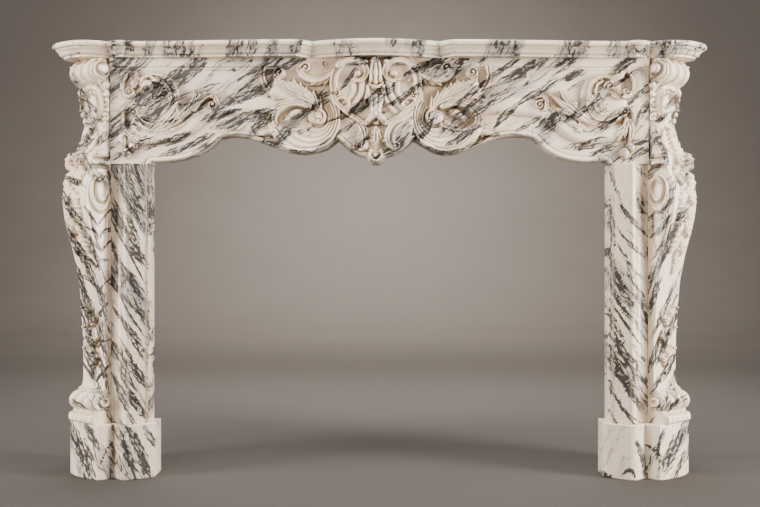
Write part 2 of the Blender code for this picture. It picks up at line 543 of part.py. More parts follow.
def carve_leg_front(along, height):
    """Relief of the console's front face; along and height are in drawn millimetres.

    along runs from the inner arris, negative, to the outer one, positive.
    """
    carving = Carving(along, height)
    half = LEG_DRAWN_HALF
    x, y = carving.x, carving.y
    roll = soft_step(y, 1146, 1156)
    carving.height += roll * 0.008 * np.abs(np.cos(1.5 * math.pi * x / half))**0.55
    foot = soft_step(y, 192, 200) * (1 - soft_step(y, 246, 256))
    carving.height += foot * 0.007 * np.abs(np.cos(1.5 * math.pi * x / half))**0.55
    carving.ribbon([(58, 1092), (52, 1132), (20, 1152), (-22, 1150), (-50, 1126),
                    (-52, 1088), (-34, 1052)], 11, 0.011, 8, 0.008)
    carving.fan((12, 1136), 8, 62, -150, -20, 8, 0.008, scallop=0.2, dish=0.3)
    carving.dome((18, 1136), 11, 0.014)
    for step in range(7):
        turn = 1120 - 14 * step
        carving.dome((-59 + 0.3 * step, turn), 8, 0.006)
    carving.leaf([(0, 1108), (-6, 1080), (-14, 1046)], 30, 0.009, lobes=3)
    carving.sink((-18, 1044), 9, 0.006, stretch=1.8, angle=20)
    carving.leaf([(30, 950), (24, 990), (8, 1030)], 30, 0.009, lobes=5)
    carving.leaf([(-30, 950), (-26, 985), (-12, 1022)], 26, 0.009, lobes=5)
    for step in range(6):
        carving.dome((-2 + 1.5 * step, 962 + 12.5 * step), 6.5, 0.012)
    carving.volute((-14, 931), 27, 0.016, turns=1.2, start=60, hand=1)
    carving.leaf([(48, 955), (54, 930), (40, 902)], 24, 0.014, lobes=4)
    carving.leaf([(-8, 905), (-20, 884), (-18, 858)], 28, 0.012, lobes=4)
    carving.leaf([(20, 912), (34, 880), (28, 846)], 28, 0.012, lobes=4)
    carving.sink((-6, 872), 8, 0.006, stretch=1.4, angle=60)
    for base, lean, size in ((846, 1, 26), (800, -1, 24), (752, 1, 22), (704, -1, 20)):
        carving.leaf([(4 * lean, base), (22 * lean, base - 18), (40 * lean, base - 46)],
                     size, 0.012, lobes=4)
        carving.leaf([(-4 * lean, base - 8), (-20 * lean, base - 26), (-30 * lean, base - 54)],
                     size * 0.8, 0.010, lobes=3)
        carving.dome((2 * lean, base - 14), 10, 0.013)
        carving.dome((14 * lean, base - 34), 7, 0.012)
        carving.sink((6 * lean, base - 30), 5, 0.005)
    carving.leaf([(-6, 662), (6, 630), (0, 596)], 16, 0.009, lobes=4)
    for base, lean in ((470, 1), (440, -1), (412, 1), (380, -1), (350, 1), (322, -1)):
        carving.leaf([(2 * lean, base), (12 * lean, base + 14), (26 * lean, base + 24)],
                     10, 0.007, lobes=2)
        carving.dome((30 * lean, base + 26), 6.5, 0.009)
    carving.ridge([(-2, 300), (4, 350), (-3, 400), (3, 450), (0, 486)], 3.5, 0.004)
    torus = soft_step(y, 160, 164) * (1 - soft_step(y, 184, 188))
    carving.height += torus * 0.003 * np.abs(np.cos(2.5 * math.pi * x / half))**0.5
    return carving.height


def carve_leg_side(out, height):
    """Relief of a console's side face, in drawn millimetres.

    out runs from the corner to the front arris.
    """
    carving = Carving(out, height)
    x, y = carving.x, carving.y
    carving.volute((31, 1194), 28, 0.009, turns=1.4, start=90, hand=1)
    carving.dome((31, 1194), 15, 0.009, base=0.004)
    carving.ridge([(14, 1150), (15, 1110), (15, 1070), (20, 1046)], 5.5, 0.006)
    carving.ridge([(20, 1040), (19, 1005), (28, 975), (42, 950)], 4, 0.004)
    for low, high, rise in ((906, 912, 0.003), (914, 934, 0.006), (936, 941, 0.003)):
        band = soft_step(y, low, low + 2) * (1 - soft_step(y, high - 2, high))
        carving.height += band * rise
    ring = np.hypot((x - 37) / 33, (y - 833) / 56)
    carving.height += 0.006 * np.exp(-((ring - 0.9) / 0.11)**2)
    ring = np.hypot((x - 31) / 21, (y - 838) / 33)
    carving.height += 0.006 * (1 - soft_step(ring, 0.8, 1.0))
    carving.height -= 0.004 * np.exp(-((ring - 1.05) / 0.09)**2)
    carving.ridge([(62, 770), (52, 720), (38, 680), (26, 668)], 4.5, 0.005, 3, 0.002)
    carving.ridge([(12, 770), (14, 720), (18, 685), (26, 668)], 3.5, 0.004, 3, 0.002)
    carving.volute((34, 222), 24, 0.008, turns=1.3, start=-60, hand=1)
    carving.dome((22, 222), 13, 0.009, base=0.002)
    margin = soft_step(x, 3, 9)
    return carving.height * margin


def new_object(name, mesh_builder, material):
    """A mesh object made from a bmesh, with its outside faces out."""
    bmesh.ops.recalc_face_normals(mesh_builder, faces=mesh_builder.faces)
    mesh = bpy.data.meshes.new(name)
    mesh_builder.to_mesh(mesh)
    mesh_builder.free()
    made = bpy.data.objects.new(name, mesh)
    bpy.context.collection.objects.link(made)
    mesh.materials.append(material)
    return made


def marble(name, colour, roughness):
    """Polished marble."""
    material = bpy.data.materials.new(name)
    material.use_nodes = True
    shader = material.node_tree.nodes["Principled BSDF"]
    shader.inputs["Base Color"].default_value = (*colour, 1.0)
    shader.inputs["Roughness"].default_value = roughness
    shader.inputs["Metallic"].default_value = 0.0
    return material


def prism(name, outline, low, high, material, mirror=False):
    """An upright block of a plan outline, mirrored for the left side."""
    side = -1.0 if mirror else 1.0
    block = bmesh.new()
    corners = [block.verts.new((side * x, y, low)) for x, y in outline]
    base = block.faces.new(corners)
    raised = bmesh.ops.extrude_face_region(block, geom=[base])
    moved = [item for item in raised["geom"] if isinstance(item, bmesh.types.BMVert)]
    bmesh.ops.translate(block, vec=(0, 0, high - low), verts=moved)
    return new_object(name, block, material)


def jamb_outline():
    """Plan of the right-hand jamb, from the back of the reveal round the front."""
    back = WALL_Y - JAMB_BACK_FROM_WALL
    face = WALL_Y - JAMB_FACE_FROM_WALL
    groove = WALL_Y - REVEAL_GROOVE_FROM_WALL
    nose = np.array([REVEAL_X + JAMB_NOSE_ACROSS,
                     WALL_Y - JAMB_NOSE_FROM_WALL + JAMB_NOSE_RADIUS])
    points = [(REVEAL_X, back), (REVEAL_X, groove + REVEAL_GROOVE)]
    points += [(REVEAL_X + REVEAL_GROOVE, groove + REVEAL_GROOVE),
               (REVEAL_X + REVEAL_GROOVE, groove), (REVEAL_X, groove)]
    points += arc((REVEAL_X + REVEAL_GROOVE, face), REVEAL_GROOVE, 180, 245, 3)
    points += arc(nose, JAMB_NOSE_RADIUS, 245, 395, 8)
    start = points[-1]
    end = leg_plan(-JOINT_GAP, -LEG_HALF_WIDTH - JOINT_GAP)
    chord = np.subtract(end, start)
    sag = np.array([chord[1], -chord[0]])
    sag = -sag / np.hypot(*sag) * np.hypot(*chord) * 0.16
    for share in (0.2, 0.4, 0.6, 0.8):
        points.append(start + chord * share + sag * 4 * share * (1 - share))
    points += [end, leg_plan(-LEG_TAIL, -LEG_HALF_WIDTH - JOINT_GAP)]
    points.append((leg_plan(-LEG_TAIL, -LEG_HALF_WIDTH)[0] - JAMB_NOSE_RADIUS, back))
    return points


def plinth_outline():
    """Plan of the right-hand plinth: a lobe under the jamb and one under the leg."""
    inner = REVEAL_X - PLINTH_LEDGE
    back = WALL_Y - JAMB_BACK_FROM_WALL
    face = WALL_Y - JAMB_FACE_FROM_WALL
    nose_y = WALL_Y - JAMB_NOSE_FROM_WALL - PLINTH_NOSE_LEDGE
    nose_x = REVEAL_X + JAMB_NOSE_ACROSS
    radius = 2.2 * JAMB_NOSE_RADIUS
    points = [(inner, back), (inner, face + PLINTH_LEDGE / 2),
              (inner + PLINTH_LEDGE / 4, face)]
    points += arc((nose_x, nose_y + radius), radius, 250, 335, 5)
    points.append(leg_plan(PLINTH_LEDGE / 5, -PLINTH_LOBE_HALF - PLINTH_LEDGE / 3))
    points += [leg_plan(PLINTH_LOBE_OUT + PLINTH_BOW * (1 - (step / 5)**2),
                        PLINTH_LOBE_HALF * step / 5) for step in range(-5, 6)]
    valley = leg_plan(0.0, PLINTH_LOBE_HALF)
    inside = valley[0] - PLINTH_RETURN_WIDTH
    points += [valley, (valley[0], WALL_Y), (inside, WALL_Y),
               (inside, leg_plan(-LEG_TAIL, LEG_HALF_WIDTH)[1] + PLINTH_LEDGE),
               (inside - PLINTH_RETURN_WIDTH, back)]
    return points


def return_outline():
    """Plan of the right-hand return slab, from the console's side back to the wall."""
    touch = LEG_HALF_WIDTH + JOINT_GAP
    front = LEG_ORIGIN[1] + touch * math.sqrt(2) - (RETURN_X - LEG_ORIGIN[0])
    tail = leg_plan(-LEG_TAIL, touch)
    inside = RETURN_X - RETURN_THICKNESS
    return [(RETURN_X, front), (RETURN_X, WALL_Y), (inside, WALL_Y), (inside, tail[1]),
            (max(tail[0], inside), tail[1])]


def shelf_half_outline(side):
    """Widest line of the shelf's edge, from the middle to the wall on the right half.

    The middle swelling stands a little to the left, so its notch is nearer the middle on
    the right side, where side is 1, than on the left, where it is -1.
    """
    notch_y = WALL_Y - SHELF_NOTCH_FROM_WALL
    swell_y = WALL_Y - SHELF_SWELL_FROM_WALL
    run_y = WALL_Y - SHELF_RUN_FROM_WALL
    middle = side * SHELF_BULGE_SHIFT
    points = []
    for share in np.linspace(0, 1, 9)[1:]:
        points.append((middle + SHELF_BULGE_HALF * share,
                       -DEPTH / 2 + (notch_y + DEPTH / 2) * share**2))
    start = middle + SHELF_BULGE_HALF
    for share in (0.14, 0.4, 0.7, 1.0):
        points.append((start + SHELF_SWELL_WIDTH * share,
                       notch_y + (swell_y - notch_y) * math.sin(math.pi / 2 * share)))
    bump_end = CORNER[0] - SHELF_NOTCH_OFFSET
    bump_start = bump_end - SHELF_BUMP_WIDTH
    run_start = start + SHELF_SWELL_WIDTH
    for share in (0.2, 0.4, 0.6, 0.8, 1.0):
        ease = share * share * (3 - 2 * share)
        points.append((run_start + (bump_start - run_start) * share,
                       swell_y + (run_y - swell_y) * ease))
    bump_y = WALL_Y - SHELF_BUMP_FROM_WALL
    for share in (0.12, 0.3, 0.5, 0.7, 0.88):
        points.append((bump_start + SHELF_BUMP_WIDTH * share,
                       run_y + (bump_y - run_y) * math.sin(math.pi * share)))
    stretch = 1 + SHELF_LOBE_FLATNESS
    lobe_x = CORNER[0] + SHELF_LOBE_OFFSET
    lobe_y = WALL_Y - SHELF_LOBE_FROM_WALL + SHELF_LOBE_HALF_DEPTH * stretch
    side_x = RETURN_X + SHELF_SIDE_OVERHANG
    for angle in np.linspace(SHELF_LOBE_START, SHELF_LOBE_END, SHELF_ARC_STEPS + 1):
        turn = math.radians(angle)
        reach = 1 + SHELF_LOBE_FLATNESS * math.cos(4 * turn)
        x = lobe_x + SHELF_LOBE_HALF_WIDTH * reach * math.cos(turn)
        points.append((max(x, side_x) if angle > 0 else x,
                       lobe_y + SHELF_LOBE_HALF_DEPTH * reach * math.sin(turn)))
    points.append((side_x, points[-1][1] + SHELF_NOTCH_OFFSET))
    points.append((side_x, WALL_Y))
    return points


def inset_line(points, inset):
    """The open line moved inwards, keeping its two ends on the wall plane."""
    line = np.array(points)
    steps = np.diff(line, axis=0)
    normals = np.stack([-steps[:, 1], steps[:, 0]], axis=1)
    normals /= np.hypot(*steps.T)[:, None]
    before = np.vstack([normals[:1], normals])
    after = np.vstack([normals, normals[-1:]])
    mitre = (before + after) / (1 + np.sum(before * after, axis=1))[:, None]
    return line + mitre * inset


def shelf_profile():
    """Edge moulding of the shelf, top to bottom: how far in, and the height."""
    radius = SHELF_TORUS / 2
    centre = HEIGHT - radius
    rings = [(radius * (1 - math.cos(math.radians(a))), centre + radius * math.sin(
        math.radians(a))) for a in (90, 50, 20, -10, -50)]
    fillet = HEIGHT - SHELF_TORUS
    step = SHELF_PROJECTION
    rings += [(0.34 * step, fillet), (0.34 * step, fillet - 0.0022)]
    rings += [(0.42 * step, fillet - 0.0048), (0.56 * step, fillet - 0.0088)]
    rings += [(0.60 * step, fillet - 0.0105), (0.68 * step, fillet - 0.0155)]
    rings += [(step, fillet - 0.0195), (step, SHELF_BOTTOM)]
    return rings


def make_shelf(material):
    """The moulded top slab."""
    left = [(-x, y) for x, y in reversed(shelf_half_outline(-1))]
    line = left + [(SHELF_BULGE_SHIFT, -DEPTH / 2)] + shelf_half_outline(1)
    slab = bmesh.new()
    loops = []
    for inset, height in shelf_profile():
        ring = inset_line(line, inset)
        loops.append([slab.verts.new((x, y, height)) for x, y in ring])
    count = len(line)
    for upper, lower in zip(loops, loops[1:]):
        for index in range(count):
            after = (index + 1) % count
            slab.faces.new((upper[index], upper[after], lower[after], lower[index]))
    slab.faces.new(loops[0])
    slab.faces.new(loops[-1])
    return new_object("mantel_shelf", slab, material)


def close_back(builder, grid, back_points):
    """Close a sheet of vertices to a body with a straight-sided back."""
    rows, columns = len(grid), len(grid[0])
    border = [(0, c) for c in range(columns)]
    border += [(r, columns - 1) for r in range(1, rows)]
    border += [(rows - 1, c) for c in range(columns - 2, -1, -1)]
    border += [(r, 0) for r in range(rows - 2, 0, -1)]
    back = [builder.verts.new(back_points(r, c)) for r, c in border]
    for index, (r, c) in enumerate(border):
        after = (index + 1) % len(border)
        near, following = grid[r][c], grid[border[after][0]][border[after][1]]
        builder.faces.new((near, following, back[after], back[index]))
    builder.faces.new(back)


def sheet(builder, points):
    """A grid of vertices and its quads from an array of rows, columns and places."""
    grid = [[builder.verts.new(place) for place in row] for row in points]
    for lower, upper in zip(grid, grid[1:]):
        for c in range(len(lower) - 1):
            builder.faces.new((lower[c], lower[c + 1], upper[c + 1], upper[c]))
    return grid


def thin_out(made, facets, seats):
    """Keep the facets that carry the form, and true up the flat joint faces.

    Each seat is a point of a joint face, its outward normal, and how far beyond it a
    facet's corner may have strayed.
    """
    mesh = made.data
    total = sum(len(face.vertices) - 2 for face in mesh.polygons)
    reduce = made.modifiers.new("thin_out", "DECIMATE")
    reduce.decimate_type = "COLLAPSE"
    reduce.ratio = facets / total
    reduce.use_collapse_triangulate = True
    evaluated = made.evaluated_get(bpy.context.evaluated_depsgraph_get())
    thinned = bpy.data.meshes.new_from_object(evaluated)
    made.modifiers.clear()
    made.data = thinned
    bpy.data.meshes.remove(mesh)
    places = np.empty(len(thinned.vertices) * 3)
    thinned.vertices.foreach_get("co", places)
    places = places.reshape(-1, 3)
    for point, normal, stray in seats:
        unit = np.array(normal) / np.linalg.norm(normal)
        beyond = (places - np.array(point)) @ unit
        on_seat = (beyond > -SEAT_TRUING) & (beyond < stray)
        places -= np.where(on_seat, beyond, 0)[:, None] * unit
    thinned.vertices.foreach_set("co", places.ravel())
    thinned.update()


def frieze_points(columns, rows):
    """Front surface of the frieze as rows of places, from its lower edge up."""
    face = WALL_Y - FRIEZE_FACE_FROM_WALL
    half = CORNER[0] - JOINT_GAP
    top = SHELF_BOTTOM - JOINT_GAP
    bottom = OPENING_HEIGHT + JOINT_GAP
    x = np.linspace(-half, half, columns + 1)
    column = MIDDLE_COLUMN + x / half * DRAWN_HALF_WIDTH
    edge_row = np.minimum(lower_edge(column), TOP_ROW + DRAWN_HEIGHT)
    share = np.linspace(0, 1, rows + 1)[:, None]
    row = edge_row + (TOP_ROW - edge_row) * share
    places = np.empty(row.shape + (3,))
    places[..., 0] = x
    places[..., 1] = face - carve_frieze(np.broadcast_to(column, row.shape), row)
    places[..., 2] = top - (row - TOP_ROW) / DRAWN_HEIGHT * (top - bottom)
    return places


def make_frieze(material):
    """The carved slab over the opening, mitred to the consoles at its ends."""
    points = frieze_points(FRIEZE_COLUMNS, FRIEZE_ROWS)
    back = WALL_Y - FRIEZE_FACE_FROM_WALL + FRIEZE_THICKNESS
    slab = bmesh.new()
    grid = sheet(slab, points.tolist())
    close_back(slab, grid, lambda r, c: (points[r, c, 0], back, points[r, c, 2]))
    touch = leg_plan(0.0, -LEG_HALF_WIDTH - JOINT_GAP)
    for side in (-1.0, 1.0):
        whole = slab.verts[:] + slab.edges[:] + slab.faces[:]
        cut = bmesh.ops.bisect_plane(slab, geom=whole, dist=1e-6, clear_outer=True,
                                     plane_co=(side * touch[0], touch[1], 0),
                                     plane_no=(side, 1, 0))
        rim = [item for item in cut["geom_cut"] if isinstance(item, bmesh.types.BMEdge)]
        bmesh.ops.edgenet_fill(slab, edges=rim)
    made = new_object("frieze", slab, material)
    seats = [((0, 0, SHELF_BOTTOM - JOINT_GAP), (0, 0, 1), LEG_TAIL),
             ((0, back, 0), (0, 1, 0), LEG_TAIL),
             ((0, 0, OPENING_HEIGHT + JOINT_GAP), (0, 0, -1), LEG_TAIL)]
    for side in (-1.0, 1.0):
        seats.append(((side * (CORNER[0] - JOINT_GAP), 0, 0), (side, 0, 0), LEG_TAIL))
        seats.append(((side * touch[0], touch[1], 0), (side, 1, 0), LEG_TAIL))
    thin_out(made, FRIEZE_FACETS, seats)
    return made


def leg_points(columns, rows):
    """Side, front and side of the right-hand console, as rows of places."""
    height = np.linspace(PLINTH_HEIGHT + JOINT_GAP, SHELF_BOTTOM - JOINT_GAP, rows + 1)
    drawn = drawn_height(height)[:, None]
    share = np.linspace(-1, 1, columns + 1)
    turn = np.clip(np.abs(share) / LEG_FRONT_SHARE, 0, 1)
    down = np.clip((np.abs(share) - LEG_FRONT_SHARE) / (1 - LEG_FRONT_SHARE), 0, 1)
    out = leg_profile(drawn) * (1 - down)
    along = np.broadcast_to(np.sign(share) * turn, out.shape)
    tall = np.broadcast_to(drawn / MM, out.shape)
    front_relief = carve_leg_front(along * LEG_DRAWN_HALF, tall)
    side_relief = carve_leg_side(out / MM, tall)
    ease = np.clip((1 - turn) * LEG_HALF_WIDTH / LEG_ARRIS, 0, 1)
    rounding = LEG_ARRIS_DROP * (1 - np.sqrt(1 - (1 - ease)**2))
    on_side = soft_step(down, 0.0, LEG_WRAP)
    out = out + (1 - on_side) * (front_relief - rounding)
    along = along * LEG_HALF_WIDTH + np.sign(share) * on_side * side_relief
    places = np.empty(along.shape + (3,))
    places[..., 0] = LEG_ORIGIN[0] + DIAGONAL_OUT[0] * out + DIAGONAL_ALONG[0] * along
    places[..., 1] = LEG_ORIGIN[1] + DIAGONAL_OUT[1] * out + DIAGONAL_ALONG[1] * along
    places[..., 2] = height[:, None]
    return places


def make_leg(name, material, mirror):
    """A carved corner console with the plain tail that keys it behind the frieze."""
    side = -1.0 if mirror else 1.0
    points = leg_points(LEG_COLUMNS, LEG_ROWS)
    points[..., 0] *= side
    last = points.shape[1] - 1

    def tail(r, c):
        along = LEG_HALF_WIDTH * (2 * c / last - 1)
        x, y = leg_plan(-LEG_TAIL, along)
        return (side * x, y, points[r, c, 2])

    block = bmesh.new()
    grid = sheet(block, points.tolist())
    close_back(block, grid, tail)
    made = new_object(name, block, material)
    rear = leg_plan(-LEG_TAIL, 0.0)
    seats = [((0, 0, SHELF_BOTTOM - JOINT_GAP), (0, 0, 1), LEG_TAIL),
             ((0, 0, PLINTH_HEIGHT + JOINT_GAP), (0, 0, -1), LEG_TAIL),
             ((side * rear[0], rear[1], 0), (-side, 1, 0), LEG_TAIL)]
    thin_out(made, LEG_FACETS, seats)
    flatten_cheeks(made, side)
    return made


def flatten_cheeks(made, side):
    """Keep the console's sides flat where the jamb, frieze and return meet them."""
    block = bmesh.new()
    block.from_mesh(made.data)
    start = leg_plan(LEG_CHEEK, 0.0)
    whole = block.verts[:] + block.edges[:] + block.faces[:]
    bmesh.ops.bisect_plane(block, geom=whole, dist=1e-6, plane_co=(side * start[0], start[1], 0),
                           plane_no=(side * DIAGONAL_OUT[0], DIAGONAL_OUT[1], 0))
    for corner in block.verts:
        offset = np.array([side * corner.co.x, corner.co.y]) - LEG_ORIGIN
        out, along = offset @ DIAGONAL_OUT, offset @ DIAGONAL_ALONG
        if out < LEG_CHEEK + SEAT_TRUING / 2:
            kept = min(max(along, -LEG_HALF_WIDTH), LEG_HALF_WIDTH)
            corner.co.x += side * DIAGONAL_ALONG[0] * (kept - along)
            corner.co.y += DIAGONAL_ALONG[1] * (kept - along)
    block.to_mesh(made.data)
    block.free()


def build():
    """All pieces of the chimneypiece."""
    for old in list(bpy.data.objects):
        bpy.data.objects.remove(old, do_unlink=True)
    shelf_stone = marble("shelf_marble", (0.80, 0.76, 0.71), 0.3)
    carved_stone = marble("carved_marble", (0.82, 0.78, 0.72), 0.34)
    leg_stone = marble("console_marble", (0.82, 0.79, 0.74), 0.34)
    jamb_stone = marble("jamb_marble", (0.74, 0.72, 0.69), 0.3)
    plinth_stone = marble("plinth_marble", (0.78, 0.74, 0.68), 0.36)
    return_stone = marble("return_marble", (0.79, 0.76, 0.71), 0.4)
    make_shelf(shelf_stone)
    make_frieze(carved_stone)
    for side, mirror in (("left", True), ("right", False)):
        prism("plinth_" + side, plinth_outline(), 0.0, PLINTH_HEIGHT, plinth_stone, mirror)
        prism("jamb_" + side, jamb_outline(), PLINTH_HEIGHT + JOINT_GAP, OPENING_HEIGHT,
              jamb_stone, mirror)
        prism("return_" + side, return_outline(), PLINTH_HEIGHT + JOINT_GAP,
              SHELF_BOTTOM - JOINT_GAP, return_stone, mirror)
        make_leg("leg_" + side, leg_stone, mirror)


build()
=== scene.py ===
"""Carved marble chimneypiece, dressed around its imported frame.

Every piece is one block of the mason's work and stands where the frame's block stands.
The carving is a relief of strokes, laid over a fine grid of the block's face. Metres, +Z
up, and the front looks along -Y.
"""

import math

import bmesh
import bpy
import numpy as np
from bpy.props import (FloatProperty, FloatVectorProperty, IntProperty,
                       PointerProperty)
from bpy.types import Operator, Panel, PropertyGroup
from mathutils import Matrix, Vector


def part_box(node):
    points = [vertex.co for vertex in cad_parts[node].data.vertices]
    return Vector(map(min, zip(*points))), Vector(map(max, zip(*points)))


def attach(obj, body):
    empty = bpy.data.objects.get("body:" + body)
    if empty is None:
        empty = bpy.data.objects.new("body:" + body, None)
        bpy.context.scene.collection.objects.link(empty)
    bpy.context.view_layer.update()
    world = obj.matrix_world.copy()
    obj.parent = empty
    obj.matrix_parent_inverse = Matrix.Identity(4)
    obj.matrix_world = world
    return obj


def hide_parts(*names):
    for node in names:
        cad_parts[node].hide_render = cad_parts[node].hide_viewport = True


bl_info = {
    "name": "Carved Marble Chimneypiece",
    "version": (1, 0, 0),
    "blender": (4, 5, 0),
    "location": "3D View > Sidebar > Chimneypiece",
    "description": "Builds a carved marble chimneypiece block by block, in a plain studio",
    "category": "Add Mesh",
}

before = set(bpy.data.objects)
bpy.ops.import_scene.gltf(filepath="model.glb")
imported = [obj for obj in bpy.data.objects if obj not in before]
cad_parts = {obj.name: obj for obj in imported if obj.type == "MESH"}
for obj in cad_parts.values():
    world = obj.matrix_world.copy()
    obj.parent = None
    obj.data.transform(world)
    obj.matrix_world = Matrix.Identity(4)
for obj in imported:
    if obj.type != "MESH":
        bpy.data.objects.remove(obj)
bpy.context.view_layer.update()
MM = 0.001

# The blocks' places, read from the frame
SHELF_LOW, SHELF_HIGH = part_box("mantel_shelf")
FRIEZE_LOW, FRIEZE_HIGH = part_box("frieze")
JAMB_LOW, JAMB_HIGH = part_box("jamb_right")
LEG_LOW, LEG_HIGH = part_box("leg_right")
PLINTH_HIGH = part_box("plinth_right")[1]
RETURN_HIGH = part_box("return_right")[1]
WALL_Y = SHELF_HIGH[1]
FRONT_Y = SHELF_LOW[1]
JOINT_GAP = 0.0003

# Console and frieze, which meet on the corner's diagonal
CORNER = np.array([FRIEZE_HIGH[0] + JOINT_GAP, WALL_Y - 0.248])
LEG_HALF_WIDTH = 0.064
LEG_TAIL = 0.045
LEG_ARRIS = 0.006
LEG_ARRIS_DROP = 0.0036
LEG_WRAP = 0.12
LEG_CHEEK = 0.003
LEG_FRONT_SHARE = 0.46
FRIEZE_FACE_Y = WALL_Y - 0.255
DIAGONAL_OUT = np.array([1.0, -1.0]) / math.sqrt(2)
DIAGONAL_ALONG = np.array([1.0, 1.0]) / math.sqrt(2)
LEG_ORIGIN = CORNER + DIAGONAL_ALONG * LEG_HALF_WIDTH

# Shelf edge
SHELF_NOTCH_FROM_WALL = 0.302
SHELF_SWELL_FROM_WALL = 0.333
SHELF_RUN_FROM_WALL = 0.306
SHELF_BUMP_FROM_WALL = 0.321
SHELF_BULGE_HALF = 0.1835
SHELF_BULGE_SHIFT = -0.0113
SHELF_SWELL_WIDTH = 0.05
SHELF_BUMP_WIDTH = 0.072
SHELF_LOBE_FROM_WALL = 0.3225
SHELF_LOBE_HALF_WIDTH = 0.1125
SHELF_LOBE_HALF_DEPTH = 0.094
SHELF_LOBE_OFFSET = 0.061
SHELF_LOBE_FLATNESS = 0.03
SHELF_LOBE_START = -125
SHELF_LOBE_END = 50
SHELF_NOTCH_OFFSET = 0.006
SHELF_SIDE_OVERHANG = 0.044
SHELF_TORUS = 0.017
SHELF_PROJECTION = 0.033

# The frieze's carving is drawn on squared paper. Columns run to the right and rows run
# down. The drawing is stretched to the real slab, so it keeps its place at any size.
MIDDLE_COLUMN = 379.5
CARTOUCHE_COLUMN = 375.8
DRAWN_HALF_WIDTH = 272.0
TOP_ROW = 56.6
DRAWN_HEIGHT = 106.5

# The photograph's frame, and where the camera's axis meets it
FRAME_PIXELS = (760, 507)
FOCAL_PIXELS = 1062.0
CENTRE_SHIFT_PIXELS = (0.5, 1.5)
HORIZON_ROW = 255.0
VIEW_DISTANCE = 3.192
EYE_HEIGHT = 0.652

# The console's carving is drawn for a console of this half width, in millimetres
LEG_DRAWN_HALF = 64.0

# How much the small forms of the carving are cut deeper, and how deep a hollow has to be
# to take its full ochre dirt and painted shade, in metres
FRIEZE_CRISP = 0.2
FRIEZE_HOLLOW = 0.010
LEG_FRONT_CRISP = 0.95
LEG_SIDE_CRISP = 0.9
LEG_HOLLOW = 0.006
# How strongly painted shade darkens the gaps between a console's rolls
ROLL_GAP_PAINTED_SHADE = 0.85

# The console's relief stays below the first figure, and below the second above the height
LEG_RELIEF = 0.02
LEG_ROLL_RELIEF = 0.0085
LEG_ROLL_HEIGHT = 1.14

# Plain blocks are cut into squares of this size, to carry their drawn veins
DICE_STEP = 0.004

# Edges sharper than this many degrees stay sharp in the shading
PLAIN_ANGLE = 38
CARVED_ANGLE = 75

SIDES = (("left", -1.0), ("right", 1.0))

# Studio, in metres: a round floor that sweeps up to a wall, the painted pool of light in
# the wall's middle, and how dark the painted shade at its edges is beside that
FLOOR_RADIUS = 6.0
SWEEP_RADIUS = 4.0
WALL_HEIGHT = 8.0
BACKDROP_PAINTED_LIGHT_MIDDLE = (0.0, 10.0, 1.3)
BACKDROP_PAINTED_LIGHT_REACH = (4.6, 100.0, 4.6)
BACKDROP_PAINTED_SHADE = 0.37
AIR_COLOUR = (0.88, 0.81, 0.76, 1)
AIR_STRENGTH = 0.30
SENSOR_MM = 36.0

# Soft boxes: the setting that powers each and its share of it, the place, the point it
# faces, its width and height, and its colour
BLOCK_MIDDLE = (0.0, 0.0, 0.8)
WARM_LIGHT = (1.0, 0.94, 0.89)
SOFT_LIGHT = (1.0, 0.955, 0.92)
PALE_LIGHT = (1.0, 0.97, 0.94)
LIGHTS = (
    ("key_light", "key", 1.0, (-1.6, -3.4, 2.5), BLOCK_MIDDLE, 2.0, 1.4, WARM_LIGHT),
    ("fill_light_left", "fill", 0.85, (-3.2, -1.5, 1.3), BLOCK_MIDDLE, 1.0, 2.4,
     SOFT_LIGHT),
    ("fill_light_right", "fill", 1.35, (3.2, -1.5, 1.3), BLOCK_MIDDLE, 1.0, 2.4,
     SOFT_LIGHT),
    ("top_light", "top", 1.0, (0.0, -0.85, 3.5), (0.0, -0.1, 0.9), 2.6, 1.2, SOFT_LIGHT),
    ("floor_light", "backdrop_power", 0.40, (0.0, 1.3, 1.9), (0.0, 0.3, 0.0), 3.4, 0.8,
     PALE_LIGHT),
    ("backdrop_light", "backdrop_power", 1.0, (0.0, 3.4, 4.2), (0.0, 10.0, 3.4), 5.0, 1.0,
     PALE_LIGHT),
)


class StoneSettings(PropertyGroup):
    """The marble's colours and polish."""

    ground: FloatVectorProperty(
        name="Ground", description="The stone's cream white", subtype="COLOR", size=3,
        min=0, max=1, default=(0.82, 0.72, 0.60))
    ground_warm: FloatVectorProperty(
        name="Warm ground", description="Warmer patches in the white", subtype="COLOR",
        size=3, min=0, max=1, default=(0.76, 0.62, 0.46))
    cloud: FloatVectorProperty(
        name="Cloud", description="Grey clouds beside the veins", subtype="COLOR", size=3,
        min=0, max=1, default=(0.29, 0.28, 0.275))
    vein: FloatVectorProperty(
        name="Vein", description="Dark lines of the veins", subtype="COLOR", size=3,
        min=0, max=1, default=(0.032, 0.028, 0.027))
    # Ochre laid in hollows, quirks and gaps: old wax and dust, and painted shade where the
    # carving shades itself
    crevice: FloatVectorProperty(
        name="Crevice", description="Old wax and dust in the hollows", subtype="COLOR",
        size=3, min=0, max=1, default=(0.45, 0.35, 0.235))
    polish: FloatProperty(
        name="Roughness", description="Roughness of the polished stone", min=0, max=1,
        default=0.3)


class CarvingSettings(PropertyGroup):
    """How finely each block is cut."""

    frieze_columns: IntProperty(
        name="Frieze columns", description="Cuts along the frieze", min=40, default=660)
    frieze_rows: IntProperty(
        name="Frieze rows", description="Cuts up the frieze", min=10, default=144)
    console_columns: IntProperty(
        name="Console columns", description="Cuts round a console", min=20, default=196)
    console_rows: IntProperty(
        name="Console rows", description="Cuts up a console", min=40, default=430)
    arris: FloatProperty(
        name="Arris", description="Width of the eased edges on plain blocks",
        unit="LENGTH", min=0, default=0.0012)


